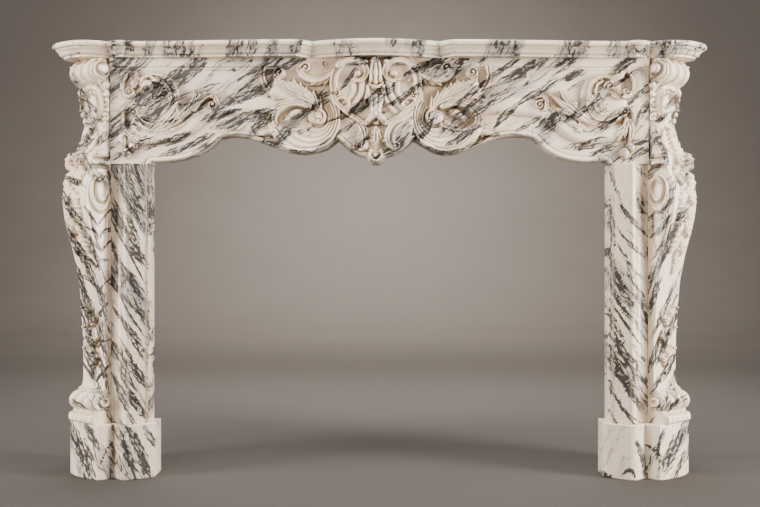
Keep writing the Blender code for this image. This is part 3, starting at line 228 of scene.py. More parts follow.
class StudioSettings(PropertyGroup):
    """Floor, lights and camera."""

    floor: FloatVectorProperty(
        name="Floor", description="Floor colour", subtype="COLOR", size=3, min=0, max=1,
        default=(0.074, 0.067, 0.060))
    # The backdrop's colour under its painted pool of light, in the middle
    backdrop: FloatVectorProperty(
        name="Backdrop", description="Lighter middle of the backdrop", subtype="COLOR",
        size=3, min=0, max=1, default=(0.66, 0.60, 0.55))
    key: FloatProperty(
        name="Key light", description="Power of the large front light", unit="POWER",
        min=0, default=42)
    fill: FloatProperty(
        name="Fill light", description="Power of the side lights", unit="POWER", min=0,
        default=158)
    top: FloatProperty(
        name="Top light", description="Power of the light overhead", unit="POWER", min=0,
        default=60)
    backdrop_power: FloatProperty(
        name="Backdrop light", description="Power of the light on the backdrop",
        unit="POWER", min=0, default=130)
    distance: FloatProperty(
        name="Camera distance", description="From the camera to the block's middle",
        unit="LENGTH", min=0, default=VIEW_DISTANCE)
    eye: FloatProperty(
        name="Eye height", description="Camera height above the floor", unit="LENGTH",
        min=0, default=EYE_HEIGHT)


def leg_plan(out, along):
    """Plan point, or points, at a place on the right-hand console's diagonal axes."""
    return LEG_ORIGIN + DIAGONAL_OUT * out + DIAGONAL_ALONG * along


def smooth_path(points, steps=8):
    """A smooth curve through the points that the carver marks, as a fine polyline."""
    marks = np.asarray(points, float)
    padded = np.vstack([2 * marks[0] - marks[1], marks, 2 * marks[-1] - marks[-2]])
    share = np.linspace(0, 1, steps, endpoint=False)[:, None]
    runs = []
    for a, b, c, d in zip(padded, padded[1:], padded[2:], padded[3:]):
        runs.append(0.5 * (2 * b + (c - a) * share + (2 * a - 5 * b + 4 * c - d) * share**2
                           + (3 * b - a - 3 * c + d) * share**3))
    return np.vstack(runs + [marks[-1:]])


def soft_step(values, low, high):
    """0 below low, 1 above high, smooth between them."""
    share = np.clip((values - low) / (high - low), 0, 1)
    return share * share * (3 - 2 * share)


class Carving:
    """Relief height over a drawn face, built up stroke by stroke.

    x and y are the drawing coordinates of the face's points, and height is the relief
    there, in metres.
    """

    def __init__(self, x, y):
        self.x = x
        self.y = y
        self.height = np.zeros_like(x)

    def turned_over(self, column):
        """The same face, with its drawing turned over about a column."""
        other = Carving(2 * column - self.x, self.y)
        other.height = self.height
        return other

    def near(self, points, reach):
        """The points of the face that lie within reach of a stroke's points."""
        low = points.min(axis=0) - reach
        high = points.max(axis=0) + reach
        return np.nonzero((self.x > low[0]) & (self.x < high[0])
                          & (self.y > low[1]) & (self.y < high[1]))

    def around(self, centre, reach):
        """The points near a centre, and how far to its right and below it they lie."""
        where = self.near(np.array([centre]), reach)
        return where, self.x[where] - centre[0], self.y[where] - centre[1]

    def oval(self, centre, radius, stretch, angle):
        """The points near an oval, and each one's squared share of the way to its rim."""
        where, dx, dy = self.around(centre, radius * max(stretch, 1.0))
        turn = math.radians(angle)
        far = (dx * math.cos(turn) + dy * math.sin(turn)) / (radius * stretch)
        across = (dy * math.cos(turn) - dx * math.sin(turn)) / radius
        return where, far**2 + across**2

    def along(self, points, reach):
        """Where the nearby points lie along a stroke, and how far to its side."""
        where = self.near(points, reach)
        px, py = self.x[where], self.y[where]
        lengths = np.hypot(*np.diff(points, axis=0).T)
        starts = np.concatenate([[0], np.cumsum(lengths)])
        best = np.full(px.shape, 1e9)
        share = np.zeros_like(px)
        side = np.zeros_like(px)
        for index, (a, b) in enumerate(zip(points, points[1:])):
            step = b - a
            size = max(lengths[index], 1e-9)
            t = np.clip(((px - a[0]) * step[0] + (py - a[1]) * step[1]) / size**2, 0, 1)
            dx, dy = px - a[0] - t * step[0], py - a[1] - t * step[1]
            distance = np.hypot(dx, dy)
            closer = distance < best
            best = np.where(closer, distance, best)
            share = np.where(closer, (starts[index] + t * size) / starts[-1], share)
            turn = np.where(step[0] * dy - step[1] * dx >= 0, 1.0, -1.0)
            side = np.where(closer, turn, side)
        return where, share, best * side

    def lay(self, where, height):
        """Lay a form over the ground: the higher of the two shows."""
        self.height[where] = np.maximum(self.height[where], height)

    def strip(self, marks, width, rise, end_width, end_rise):
        """Where a tapering strip lies, how far across it each point is, and its rise."""
        end_width = width if end_width is None else end_width
        end_rise = rise if end_rise is None else end_rise
        where, t, d = self.along(smooth_path(marks), max(width, end_width))
        q = np.abs(d) / (width + (end_width - width) * t)
        return where, q, rise + (end_rise - rise) * t

    def ridge(self, marks, width, rise, end_width=None, end_rise=None):
        """A rounded ridge along the marks."""
        where, q, lift = self.strip(marks, width, rise, end_width, end_rise)
        section = np.sqrt(np.clip(1 - q**2, 0, 1))
        self.lay(where, np.where(q < 1, lift * section, 0))

    def ribbon(self, marks, width, rise, end_width=None, end_rise=None, hollow=0.5):
        """A scroll's band: raised at its two edges and hollow between them."""
        where, q, lift = self.strip(marks, width, rise, end_width, end_rise)
        section = (1 - hollow * (1 - q**2)) * (1 - soft_step(q, 0.82, 1.0))
        self.lay(where, np.where(q < 1, lift * section, 0))

    def leaf(self, marks, width, rise, lobes=5, notch=0.4, slant=0.9):
        """An acanthus leaf along the marks, its lobes pointing to the tip."""
        path = smooth_path(marks)
        where, t, d = self.along(path, width * 1.2)
        swell = np.sin(math.pi * np.clip(t, 0, 1)**0.7)
        envelope = width * (0.18 + 0.82 * np.clip(swell, 0, 1)**0.6)
        q = np.abs(d) / envelope
        lobe = np.mod(lobes * t - slant * q + 0.35, 1.0)
        edge = 1 - notch * np.abs(2 * lobe - 1)**1.6
        inside = np.clip(1 - (q / edge)**2.4, 0, 1)
        flute = 1 - 0.42 * np.abs(2 * lobe - 1) * np.clip(q * 1.6, 0, 1)
        stem = 1 - 0.3 * np.exp(-(q / 0.13)**2)
        taper = 0.55 + 0.45 * np.clip(np.sin(math.pi * (0.12 + 0.8 * t)), 0, 1)
        form = rise * np.sqrt(inside) * flute * stem * taper
        self.lay(where, np.where(q < edge, form, 0))

    def blade(self, marks, width, rise, hollow=0.3):
        """One pointed lobe of a leaf, fluted down its middle, from its root to its tip."""
        path = smooth_path(marks, 6)
        where, t, d = self.along(path, width)
        half = width * (0.30 + 0.70 * np.sin(math.pi * t**0.75)) * (1 - t**4)**0.5
        q = np.abs(d) / np.maximum(half, 0.12)
        section = np.sqrt(np.clip(1 - q**2.6, 0, 1)) * (1 - hollow * np.exp(-(q / 0.33)**2))
        lift = rise * (0.80 + 0.20 * np.sin(math.pi * np.clip(t, 0, 1))) * (1 - 0.35 * t**5)
        self.lay(where, np.where(q < 1, lift * section, 0))

    def frond(self, stem, tips, width, rise):
        """An acanthus leaf: a stem, and a lobe that leaves it for each of the tips."""
        path = smooth_path(stem, 6)
        steps = np.hypot(*np.diff(path, axis=0).T).mean()
        for number, tip in enumerate(tips):
            gaps = np.hypot(path[:, 0] - tip[0], path[:, 1] - tip[1])
            nearest = int(gaps.argmin())
            root = path[max(nearest - int(1.5 * gaps[nearest] / steps), 0)]
            bend = path[max(nearest - int(0.6 * gaps[nearest] / steps), 0)]
            middle = 0.5 * bend + 0.5 * np.array(tip)
            self.blade([root, middle, tip], width * (0.9 + 0.12 * (number % 2)),
                       rise * 0.97)
        self.blade(stem, width * 0.9, rise * 1.06)

    def dome(self, centre, radius, rise, stretch=1.0, angle=0.0, base=0.0):
        """A bud or an eye: a rounded boss, drawn out along its angle in degrees."""
        where, q = self.oval(centre, radius, stretch, angle)
        self.lay(where, np.where(q < 1, base + rise * np.sqrt(np.clip(1 - q, 0, 1)), 0))

    def sink(self, centre, radius, depth, stretch=1.0, angle=0.0):
        """A hollow cut into what is there."""
        where, q = self.oval(centre, radius, stretch, angle)
        self.height[where] -= depth * np.clip(1 - q, 0, 1)**0.7

    def volute(self, centre, radius, rise, turns=1.6, start=0.0, hand=1, base=0.0):
        """A spiral scroll that winds into an eye, on a low domed ground."""
        self.dome(centre, radius, 0.45 * rise, base=base)
        count = int(18 * turns)
        share = np.linspace(0, 1, count)
        angles = math.radians(start) + hand * 2 * math.pi * turns * share
        reach = radius * 0.82 * (1 - 0.78 * share)
        path = np.stack([centre[0] + reach * np.cos(angles),
                         centre[1] + reach * np.sin(angles)], axis=1)
        where, t, d = self.along(path, radius * 0.3)
        half = radius * (0.21 - 0.06 * t)
        q = np.abs(d) / half
        band = rise * (0.8 + 0.2 * t) * np.sqrt(np.clip(1 - q**2.6, 0, 1))
        self.lay(where, np.where(q < 1, base + band, 0))
        self.dome(centre, radius * 0.24, rise * 1.15, base=base)

    def fan(self, centre, inner, outer, start, end, ribs, rise, scallop=0.12, dish=0.0,
            flute=0.38):
        """A ribbed shell: flutes that spread from the centre between two angles."""
        where, dx, dy = self.around(centre, outer * (1 + scallop))
        angle = np.degrees(np.arctan2(dy, dx))
        share = np.mod(angle - start, 360.0) / (end - start)
        radius = np.hypot(dx, dy)
        rib = np.abs(np.sin(math.pi * ribs * np.clip(share, 0, 1)))
        far = (radius - inner) / (outer * (1 + scallop * (rib - 1)) - inner)
        inside = (share >= 0) & (share <= 1) & (far >= 0) & (far <= 1)
        body = 1 - dish * np.sin(math.pi * np.clip(far, 0, 1))
        lip = 1 - soft_step(far, 0.86, 1.0)
        self.lay(where, np.where(inside, rise * body * (1 - flute + flute * rib) * lip, 0))

    def rings(self, outer_centre, outer_radius, inner_centre, inner_radius, count, rise,
              start=-68.0, end=176.0):
        """Nested ring mouldings whose centres shift towards the inner one.

        They die away outside the sector from start to end, in degrees about the inner
        centre.
        """
        where, dx, dy = self.around(outer_centre, outer_radius)
        shift = np.subtract(inner_centre, outer_centre)
        shrink = outer_radius - inner_radius
        a = shift @ shift - shrink**2
        b = 2 * outer_radius * shrink - 2 * (dx * shift[0] + dy * shift[1])
        c = dx**2 + dy**2 - outer_radius**2
        root = np.sqrt(np.clip(b * b - 4 * a * c, 0, None))
        depth = (-b + root) / (2 * a)
        inside = (depth >= 0) & (depth <= 1)
        groove = np.abs(np.sin(math.pi * count * depth))**0.7
        body = rise * (0.75 + 0.25 * np.cos(math.pi * depth)) * (0.66 + 0.34 * groove)
        angle = np.degrees(np.arctan2(self.y[where] - inner_centre[1],
                                      self.x[where] - inner_centre[0]))
        angle = np.where(angle < start - 40, angle + 360, angle)
        sector = soft_step(angle, start, start + 14) * (1 - soft_step(angle, end - 14, end))
        self.lay(where, np.where(inside, body * sector, 0))

    def pillow(self, marks, rise, edge):
        """A smooth cushion inside a closed outline, rounded over its edge."""
        path = smooth_path(marks + marks[:1])
        where, _, d = self.along(path, 1.0)
        px, py = self.x[where], self.y[where]
        inside = np.zeros(px.shape, bool)
        for a, b in zip(path, path[1:]):
            reach = (py - a[1]) / (b[1] - a[1] + 1e-9) * (b[0] - a[0]) + a[0]
            inside ^= ((a[1] > py) != (b[1] > py)) & (px < reach)
        lift = np.sqrt(1 - (1 - np.clip(np.abs(d) / edge, 0, 1))**2)
        self.lay(where, np.where(inside, rise * lift, 0))

    def disc(self, centre, radius, rise, base=0.0):
        """A round button with a nearly flat top."""
        where, dx, dy = self.around(centre, radius)
        q = np.hypot(dx, dy) / radius
        top = (1 - 0.25 * q**2) * (1 - soft_step(q, 0.86, 1.0))
        self.lay(where, np.where(q < 1, base + rise * top, 0))


# Lower edge of the frieze, from the left jamb to the right one, in squares
LOWER_EDGE = np.array([
    (147.8, 163.4), (149.5, 160.9), (157, 161), (166, 160.3), (175, 159.3), (184, 157.4),
    (193, 154.3), (202.5, 149.8), (211, 143.4), (217.5, 136.9), (225, 135.2),
    (232.9, 134.6), (247, 136.2), (261.4, 141.2), (274.8, 146.6), (288.2, 150.9),
    (302.5, 152.7), (315, 151.4), (327, 147.4), (338, 139), (343, 143.6), (350, 149.4),
    (358, 153.8), (366.5, 156.2), (369.2, 160.6), (373, 163.3), (376, 163.9), (379, 163.3),
    (382.8, 160.6), (385.5, 156.2), (394, 153.9), (402, 149.6), (408.6, 144.2),
    (413.9, 139), (425, 145.4), (435, 151), (446.6, 153.6), (459.5, 151.7), (472.4, 146.6),
    (485.3, 141.4), (498.3, 137.1), (507, 135.3), (515.5, 134.6), (528.4, 134.9),
    (536.2, 137.1), (541, 142.6), (545.7, 147.4), (552, 151.9), (560, 156), (571, 159.2),
    (584, 160.9), (598.7, 160.9), (606, 159.5), (609.6, 161), (611, 163.4)])


def lower_edge(column):
    """Row of the frieze's lower edge at a column of the drawing."""
    return np.interp(column, *LOWER_EDGE.T)


def carve_edge(carving):
    """The bead and groove that follow the scalloped lower edge."""
    where, _, d = carving.along(LOWER_EDGE, 8)
    d = np.abs(d)
    bead = 0.006 * np.sqrt(np.clip(1 - ((d - 2.1) / 2.3)**2, 0, 1))
    groove = 0.002 * np.exp(-((d - 5.2) / 0.7)**2)
    carving.height[where] += np.where(d < 4.4, bead, 0) - groove


def carve_grounds(carving):
    """Top band, sunk field and the broad swelling that follows the lower edge."""
    row = carving.y - TOP_ROW
    carving.height += (0.0050 * (1 - soft_step(row, 8.0, 9.4))
                       + 0.0025 * (1 - soft_step(row, 11.2, 12.2)))
    swellings = (
        [(128, 140), (146, 137.0), (162, 136.2), (178, 133), (190, 126), (199, 118),
         (211, 111.5), (230, 108.4), (258, 106), (284, 110)],
        [(468, 110), (497, 106.5), (520, 108.4), (537, 110.6), (550, 116), (562, 125),
         (573, 133), (586, 137.4), (600, 136.0), (620, 134)])
    for marks in swellings:
        where, _, d = carving.along(smooth_path(marks), 14)
        width = np.where(d > 0, 6.5, 12.5)
        carving.lay(where, 0.0145 * np.clip(1 - (d / width)**2, 0, 1)**0.62)


def carve_ring_disc(carving):
    """One of the two ringed discs, with its volute, hollow, bead and acanthus leaf."""
    carving.rings((303.7, 116.2), 37.0, (317.0, 116.5), 10.5, 5, 0.022)
    carving.sink((289.5, 116.0), 11.0, 0.020, stretch=1.6, angle=-12)
    carving.ribbon([(309, 105.5), (297, 102.4), (286.5, 104), (278, 109.6), (273.6, 117),
                    (275.6, 124), (284, 128), (297, 127.6), (309, 124)], 3.0, 0.025, 2.4,
                   0.024, hollow=0.3)
    for tip in ((262, 103.6), (265, 111.5), (267, 118.5)):
        carving.blade([(281, 106.5), (272.5, (tip[1] + 108) / 2), tip], 3.0, 0.021)
    for root, tip in (((288, 128.6), (281.5, 133.6)), ((296, 128.4), (290.5, 134)),
                      ((304, 127), (300, 133.4))):
        carving.blade([root, ((root[0] + tip[0]) / 2 + 1, (root[1] + tip[1]) / 2), tip],
                      2.6, 0.022)
    carving.dome((294.8, 112.4), 4.6, 0.017, stretch=1.7, angle=-24)
    carving.dome((285.6, 117.6), 3.4, 0.013, stretch=1.5, angle=-30)
    carving.frond([(314, 104), (303, 98), (288, 92.6), (276.6, 84.5), (272.6, 77)],
                  [(264.0, 96.4), (271.6, 99.4), (281.6, 103.0)], 3.0, 0.027)
    carving.pillow([(275, 75), (284, 79), (294, 80), (303, 85), (312, 91), (320, 100),
                    (321.6, 113), (313, 107), (300, 101), (286, 99.6), (273, 98),
                    (268, 92)], 0.0225, 6)
    carving.frond([(319.6, 114), (318.4, 107), (311, 100.6), (300, 95.4), (288, 89.6),
                   (277.6, 82), (273.4, 74), (275.0, 67)],
                  [(313.4, 88.0), (306.2, 84.4), (299.8, 79.6), (294.0, 75.8),
                   (287.8, 77.6), (283.4, 78.4), (320.6, 93.4)], 3.3, 0.031)
    carving.blade([(306, 99.5), (290, 100.5), (276.5, 104), (266.5, 110.5)], 3.4, 0.027)
    carving.volute((278.8, 71.2), 6.2, 0.026, turns=1.5, start=100)
    carving.ribbon([(262.6, 66), (261.4, 73.6), (264.2, 83), (271, 90.6), (280, 96.6)], 3.0,
                   0.017, 2.2, 0.02)
    carving.volute((317.3, 117.0), 10.0, 0.034, turns=1.1, start=-80)
    carving.dome((317.3, 117.0), 7.4, 0.033)
    for step in range(5):
        turn = math.radians(72 * step + 20)
        carving.dome((317.3 + 3.9 * math.cos(turn), 117 + 3.9 * math.sin(turn)), 2.3, 0.036)


def carve_upper_scroll(carving):
    """The smooth scroll under the shelf between the leaf and the cartouche."""
    carving.ribbon([(299.0, 68.5), (303, 74.6), (311, 78.0), (320, 77.4), (327, 73.6),
                    (333.4, 67.4), (341, 61.6), (347, 59.6)], 3.6, 0.017, 4.4, 0.026,
                   hollow=0.25)
    carving.dome((315, 69), 11, 0.011, stretch=1.3)
    carving.volute((305.2, 66.4), 6.4, 0.025, turns=1.3, start=180)
    carving.volute((324.4, 62.4), 3.8, 0.019, turns=1.0, start=120)
    for root, middle, tip in (((321, 77.6), (315, 81), (309.0, 84.0)),
                              ((326, 75.5), (320.6, 80.4), (316.0, 84.4)),
                              ((330.5, 73.5), (325.6, 79.4), (323.0, 85.0))):
        carving.blade([root, middle, tip], 2.9, 0.018)


def carve_edge_flame(carving):
    """The small flame and bud on the lower edge, outside each ringed disc."""
    carving.frond([(278, 127), (270, 131), (262, 133.2), (252, 134.4)],
                  [(262, 126.6), (256.4, 128.8), (268.4, 137.4)], 2.6, 0.019)
    carving.dome((250.4, 133.0), 2.5, 0.017)
    carving.ridge([(228, 132.8), (239, 131.6), (249, 133)], 2.0, 0.009)


def carve_cartouche_side(carving):
    """What the left half of the cartouche shares with the right one."""
    carving.ribbon([(349, 56.6), (340.4, 64), (335.0, 73.4), (332.8, 82), (333.2, 90.6)],
                   4.8, 0.036, 3.4, 0.037, hollow=0.2)
    carving.ridge([(345.6, 62.6), (339.4, 71.4), (337.0, 80), (337.2, 88)], 1.5, 0.0385)
    carving.ribbon([(333, 95), (335.6, 101.6), (341, 106.6), (347.6, 112.6), (356, 118.2),
                    (365.4, 123.4)], 3.0, 0.035, 2.4, 0.038, hollow=0.15)
    carving.ridge([(354.6, 83.6), (354.0, 92), (348.6, 99.6), (343.4, 103.0)], 5.0, 0.0345,
                  3.0, 0.030)
    carving.ridge([(362.6, 82.4), (361.6, 93), (354.8, 103), (347.0, 109.4)], 5.6, 0.040,
                  3.0, 0.034)
    carving.ridge([(368.2, 86.4), (366.6, 97), (361.6, 106.6), (356.4, 112.6)], 3.6, 0.042,
                  2.4, 0.036)
    carving.volute((336.8, 92.8), 3.8, 0.041, turns=1.1, start=120, hand=-1)
    carving.ridge([(338.4, 98.6), (343.2, 98.0), (348.0, 100.8), (348.8, 105.4),
                   (345.2, 107.4)], 2.3, 0.039)
    carving.ribbon([(338.6, 65.4), (347.2, 60.8), (357.2, 60.6), (364.4, 64.6), (367.0, 71),
                    (365.0, 77.4), (359.0, 80.8), (352.6, 78.6)], 3.5, 0.043, 2.4, 0.046,
                   hollow=0.12)
    carving.dome((357.8, 73.6), 4.6, 0.048)
    carving.dome((365.4, 61.8), 3.8, 0.049, stretch=1.15, angle=-50)


def carve_cartouche(carving):
    """The central shell cartouche, its crest, fan, palmette and drop."""
    middle = CARTOUCHE_COLUMN
    left = [(356, 46), (342, 52), (333.4, 66), (330.6, 80), (331.4, 94), (337, 104),
            (347, 114), (360, 122)]
    right = [(2 * middle - x, y) for x, y in reversed(left)]
    carving.pillow([(middle, 46), *left, (middle, 126), *right], 0.0265, 7)
    for face in (carving, carving.turned_over(middle)):
        carve_cartouche_side(face)
    carving.fan((middle, 134), 10, 44, -103, -77, 3, 0.043, scallop=0.05, flute=0.14)
    carving.dome((middle, 73), 8.6, 0.049, stretch=1.6, angle=90)
    for out in (-4.4, 0.0, 4.4):
        fall = 0.0007 * abs(out)
        carving.ridge([(middle + 0.5 * out, 61), (middle + out, 71),
                       (middle + out, 82.4 - 0.4 * abs(out))], 2.6, 0.0525 - fall,
                      3.4, 0.053 - fall)
    carving.dome((middle - 0.8, 60.4), 5.6, 0.057, stretch=1.05)
    carving.pillow([(middle - 9.4, 80), (middle, 84), (middle + 9.4, 80), (middle + 6, 88),
                    (middle, 91), (middle - 6, 88)], 0.047, 3.4)
    carving.dome((409.2, 80.4), 2.6, 0.036)
    carving.blade([(404, 90), (410.4, 93.4), (413.2, 99.8)], 2.6, 0.038)
    carving.pillow([(middle, 106), (middle + 5.4, 112), (middle + 11.4, 119),
                    (middle + 8.0, 125), (middle, 121.6), (middle - 8.0, 125),
                    (middle - 11.4, 121.4), (middle - 5.4, 112)], 0.049, 5)
    for hand in (-1, 1):
        carving.ridge([(middle + hand * 2, 110), (middle + hand * 5, 116.6),
                       (middle + hand * 9.6, 121.4)], 2.6, 0.050, 2.0, 0.049)
    carving.dome((middle, 114.4), 4.0, 0.054, stretch=1.8, angle=90)
    carving.pillow([(330, 112), (347, 112), (360, 120), (391, 120), (404, 112), (421, 112),
                    (417, 134), (404, 147), (388, 153), (363, 153), (348, 147),
                    (334, 134)], 0.015, 6)
    carving.ridge([(366.4, 141.6), (365.2, 147.4), (359.6, 149.4), (354.4, 146.4)], 3.0,
                  0.033, 2.2, 0.031)
    carving.blade([(361.6, 123.6), (365.4, 130.0), (365.0, 136.0), (360.4, 139.4)], 3.4,
                  0.034)
    carving.pillow([(407, 114), (394, 120), (387, 131), (387, 145), (395, 152), (405, 146),
                    (413, 134), (415, 120)], 0.027, 5)
    carving.dome((middle, 139), 25, 0.024)
    carving.frond([(middle, 126), (middle, 137), (middle, 149.5)],
                  [(middle - 6.2, 136.6), (middle + 6.0, 134.4), (middle + 8.8, 140.6),
                   (middle - 4.6, 144.4), (middle + 4.0, 146)], 3.6, 0.042)
    carving.dome((middle + 8.8, 140.8), 2.6, 0.041)
    carving.dome((middle, 156.0), 8.8, 0.034, stretch=1.02)
    carving.ridge([(middle - 5.2, 150.6), (middle - 5.6, 157.0), (middle, 161.0),
                   (middle + 5.6, 157.0), (middle + 5.2, 150.6)], 2.1, 0.041)
    carving.dome((middle, 155.6), 3.6, 0.043, stretch=1.2, angle=90)
    carving.ribbon([(410, 113.4), (403.6, 118.0), (395.6, 121.4), (389.6, 127.6),
                    (387.0, 135.4), (388.2, 143.4), (394.0, 148.0)], 3.4, 0.036, 2.8, 0.036,
                   hollow=0.12)
    carving.ridge([(408.0, 120.4), (399.6, 125.0), (394.6, 132.0), (393.2, 139.6),
                   (395.0, 145.0)], 2.8, 0.0335, 2.2, 0.0335)
    for base, tip in (((398.6, 131.4), (399.4, 144.0)), ((402.4, 129.4), (404.8, 142.8)),
                      ((406.2, 127.0), (410.0, 136.4))):
        carving.blade([base, ((base[0] + tip[0]) / 2 - 1.0, (base[1] + tip[1]) / 2), tip],
                      2.7, 0.032)
    carving.volute((396.6, 145.4), 4.4, 0.038, turns=1.1, start=120, hand=-1)
    carving.blade([(345.4, 116.6), (352.6, 119.6), (359.4, 126.4), (361.6, 133.0)], 3.4,
                  0.034)
    carving.blade([(357.4, 121.0), (362.6, 130.6), (364.8, 142.9)], 3.8, 0.038)
    carving.blade([(364.6, 138.0), (362.4, 146.6), (356.4, 149.6)], 3.2, 0.038)
    carving.volute((356.4, 146.0), 4.6, 0.037, turns=1.2, start=10, hand=1)


def carve_left_end(carving):
    """Snail scroll, shell wheel, long spray and leaf drop at the left end."""
    carving.dome((152, 112), 24, 0.013, stretch=1.25, angle=-25)
    carving.ribbon([(124.4, 72.4), (121.0, 80), (120.8, 89), (125.6, 95.4), (131.6, 93.4)],
                   2.1, 0.016, 1.8, 0.02, hollow=0.2)
    carving.frond([(130.6, 87), (132.6, 80), (137.6, 72.6)],
                  [(133.4, 69.6), (141.6, 77.0), (128.2, 76.4), (138.6, 82.4)], 2.2, 0.016)
    carving.volute((127.6, 90.2), 5.2, 0.023, turns=1.4, start=90, hand=-1)
    carving.dome((156, 94), 22, 0.010)
    carving.fan((154, 93), 6, 21.5, -95, 80, 8, 0.017, scallop=0.1, dish=0.45)
    carving.ribbon([(141.4, 79.0), (149, 73.0), (160, 74.0), (169.4, 80.6), (175.2, 91),
                    (174.8, 101), (170, 108.6)], 2.0, 0.022, 1.6, 0.018, hollow=0.25)
    carving.ribbon([(150.0, 79.0), (159, 80.4), (166.6, 87), (169.0, 97), (165.4, 106.4)],
                   1.7, 0.022, 1.5, 0.02, hollow=0.25)
    carving.ridge([(139.4, 84), (141.6, 77.4), (148.6, 75.6), (155.4, 80.6)], 1.9, 0.024)
    carving.dome((145.6, 85.0), 6.8, 0.031, stretch=1.08, angle=60)
    carving.frond([(138, 112), (146, 106.4), (153, 99), (158, 91)],
                  [(144.6, 97.0), (150.6, 91.4), (163, 97.6), (157.6, 105.6),
                   (151.6, 111.6), (160.6, 88.6)], 2.5, 0.024)
    carving.ribbon([(133, 104), (139, 112.6), (148, 118.6), (158, 119), (167.6, 113.4),
                    (172.6, 106)], 2.3, 0.020, 2.0, 0.017, hollow=0.2)
    carving.volute((132.4, 112.2), 5.6, 0.027, turns=1.3, start=200, hand=1)
    carving.ridge([(128.0, 107.2), (122.8, 111.0), (121.2, 119), (122.6, 129), (125, 135)],
                  2.1, 0.019, 1.6, 0.016)
    carving.ridge([(134, 118.4), (140.4, 125.6), (150, 130.0), (158.6, 130.6)], 2.0, 0.021,
                  1.8, 0.019)
    carving.ridge([(136.5, 114.6), (143.0, 121.0), (152.4, 124.6)], 1.5, 0.02)
    carving.frond([(148, 131.4), (163, 127.6), (178, 119), (192, 107.6), (203, 98.6)],
                  [(158.6, 119.4), (166.6, 111.6), (174, 106.0), (181.6, 104.4),
                   (186.6, 96.4), (191.4, 88.6), (197.4, 90.4), (203.2, 87.6)], 3.6, 0.023)
    carving.frond([(150, 132.6), (166, 131.0), (181, 124.4), (194, 113.4)],
                  [(172.6, 130.4), (179.6, 126.0), (187.4, 121.0), (194.6, 115.4),
                   (167.4, 133.2)], 2.9, 0.020)
    carving.dome((171.6, 129.4), 2.4, 0.022, stretch=1.5, angle=-30)
    carving.ribbon([(193, 109.0), (200.6, 99.6), (207.4, 95.2), (214.2, 97.0),
                    (216.8, 102.6)], 2.4, 0.025, 2.0, 0.027, hollow=0.25)
    carving.volute((211.2, 104.0), 5.8, 0.029, turns=1.3, start=-60, hand=1)
    carving.frond([(216, 103.4), (222.6, 101), (230.6, 97.6)],
                  [(219.4, 96.4), (225.6, 104.0)], 1.9, 0.017)
    carving.frond([(124.0, 131.6), (130.0, 137), (135.0, 144.6)],
                  [(137.6, 137.6), (140.4, 141.6), (128.6, 143.6)], 2.8, 0.027)
    carving.blade([(123.6, 133), (122.0, 141), (123.0, 150)], 3.0, 0.024)
    carving.dome((131.0, 146.0), 4.2, 0.026, stretch=1.2, angle=70)
    carving.dome((125.0, 152.6), 3.6, 0.022, stretch=1.5, angle=90)
    carving.ridge([(133, 129.4), (139.4, 134.6), (147, 137.2)], 2.4, 0.021, 1.6, 0.015)


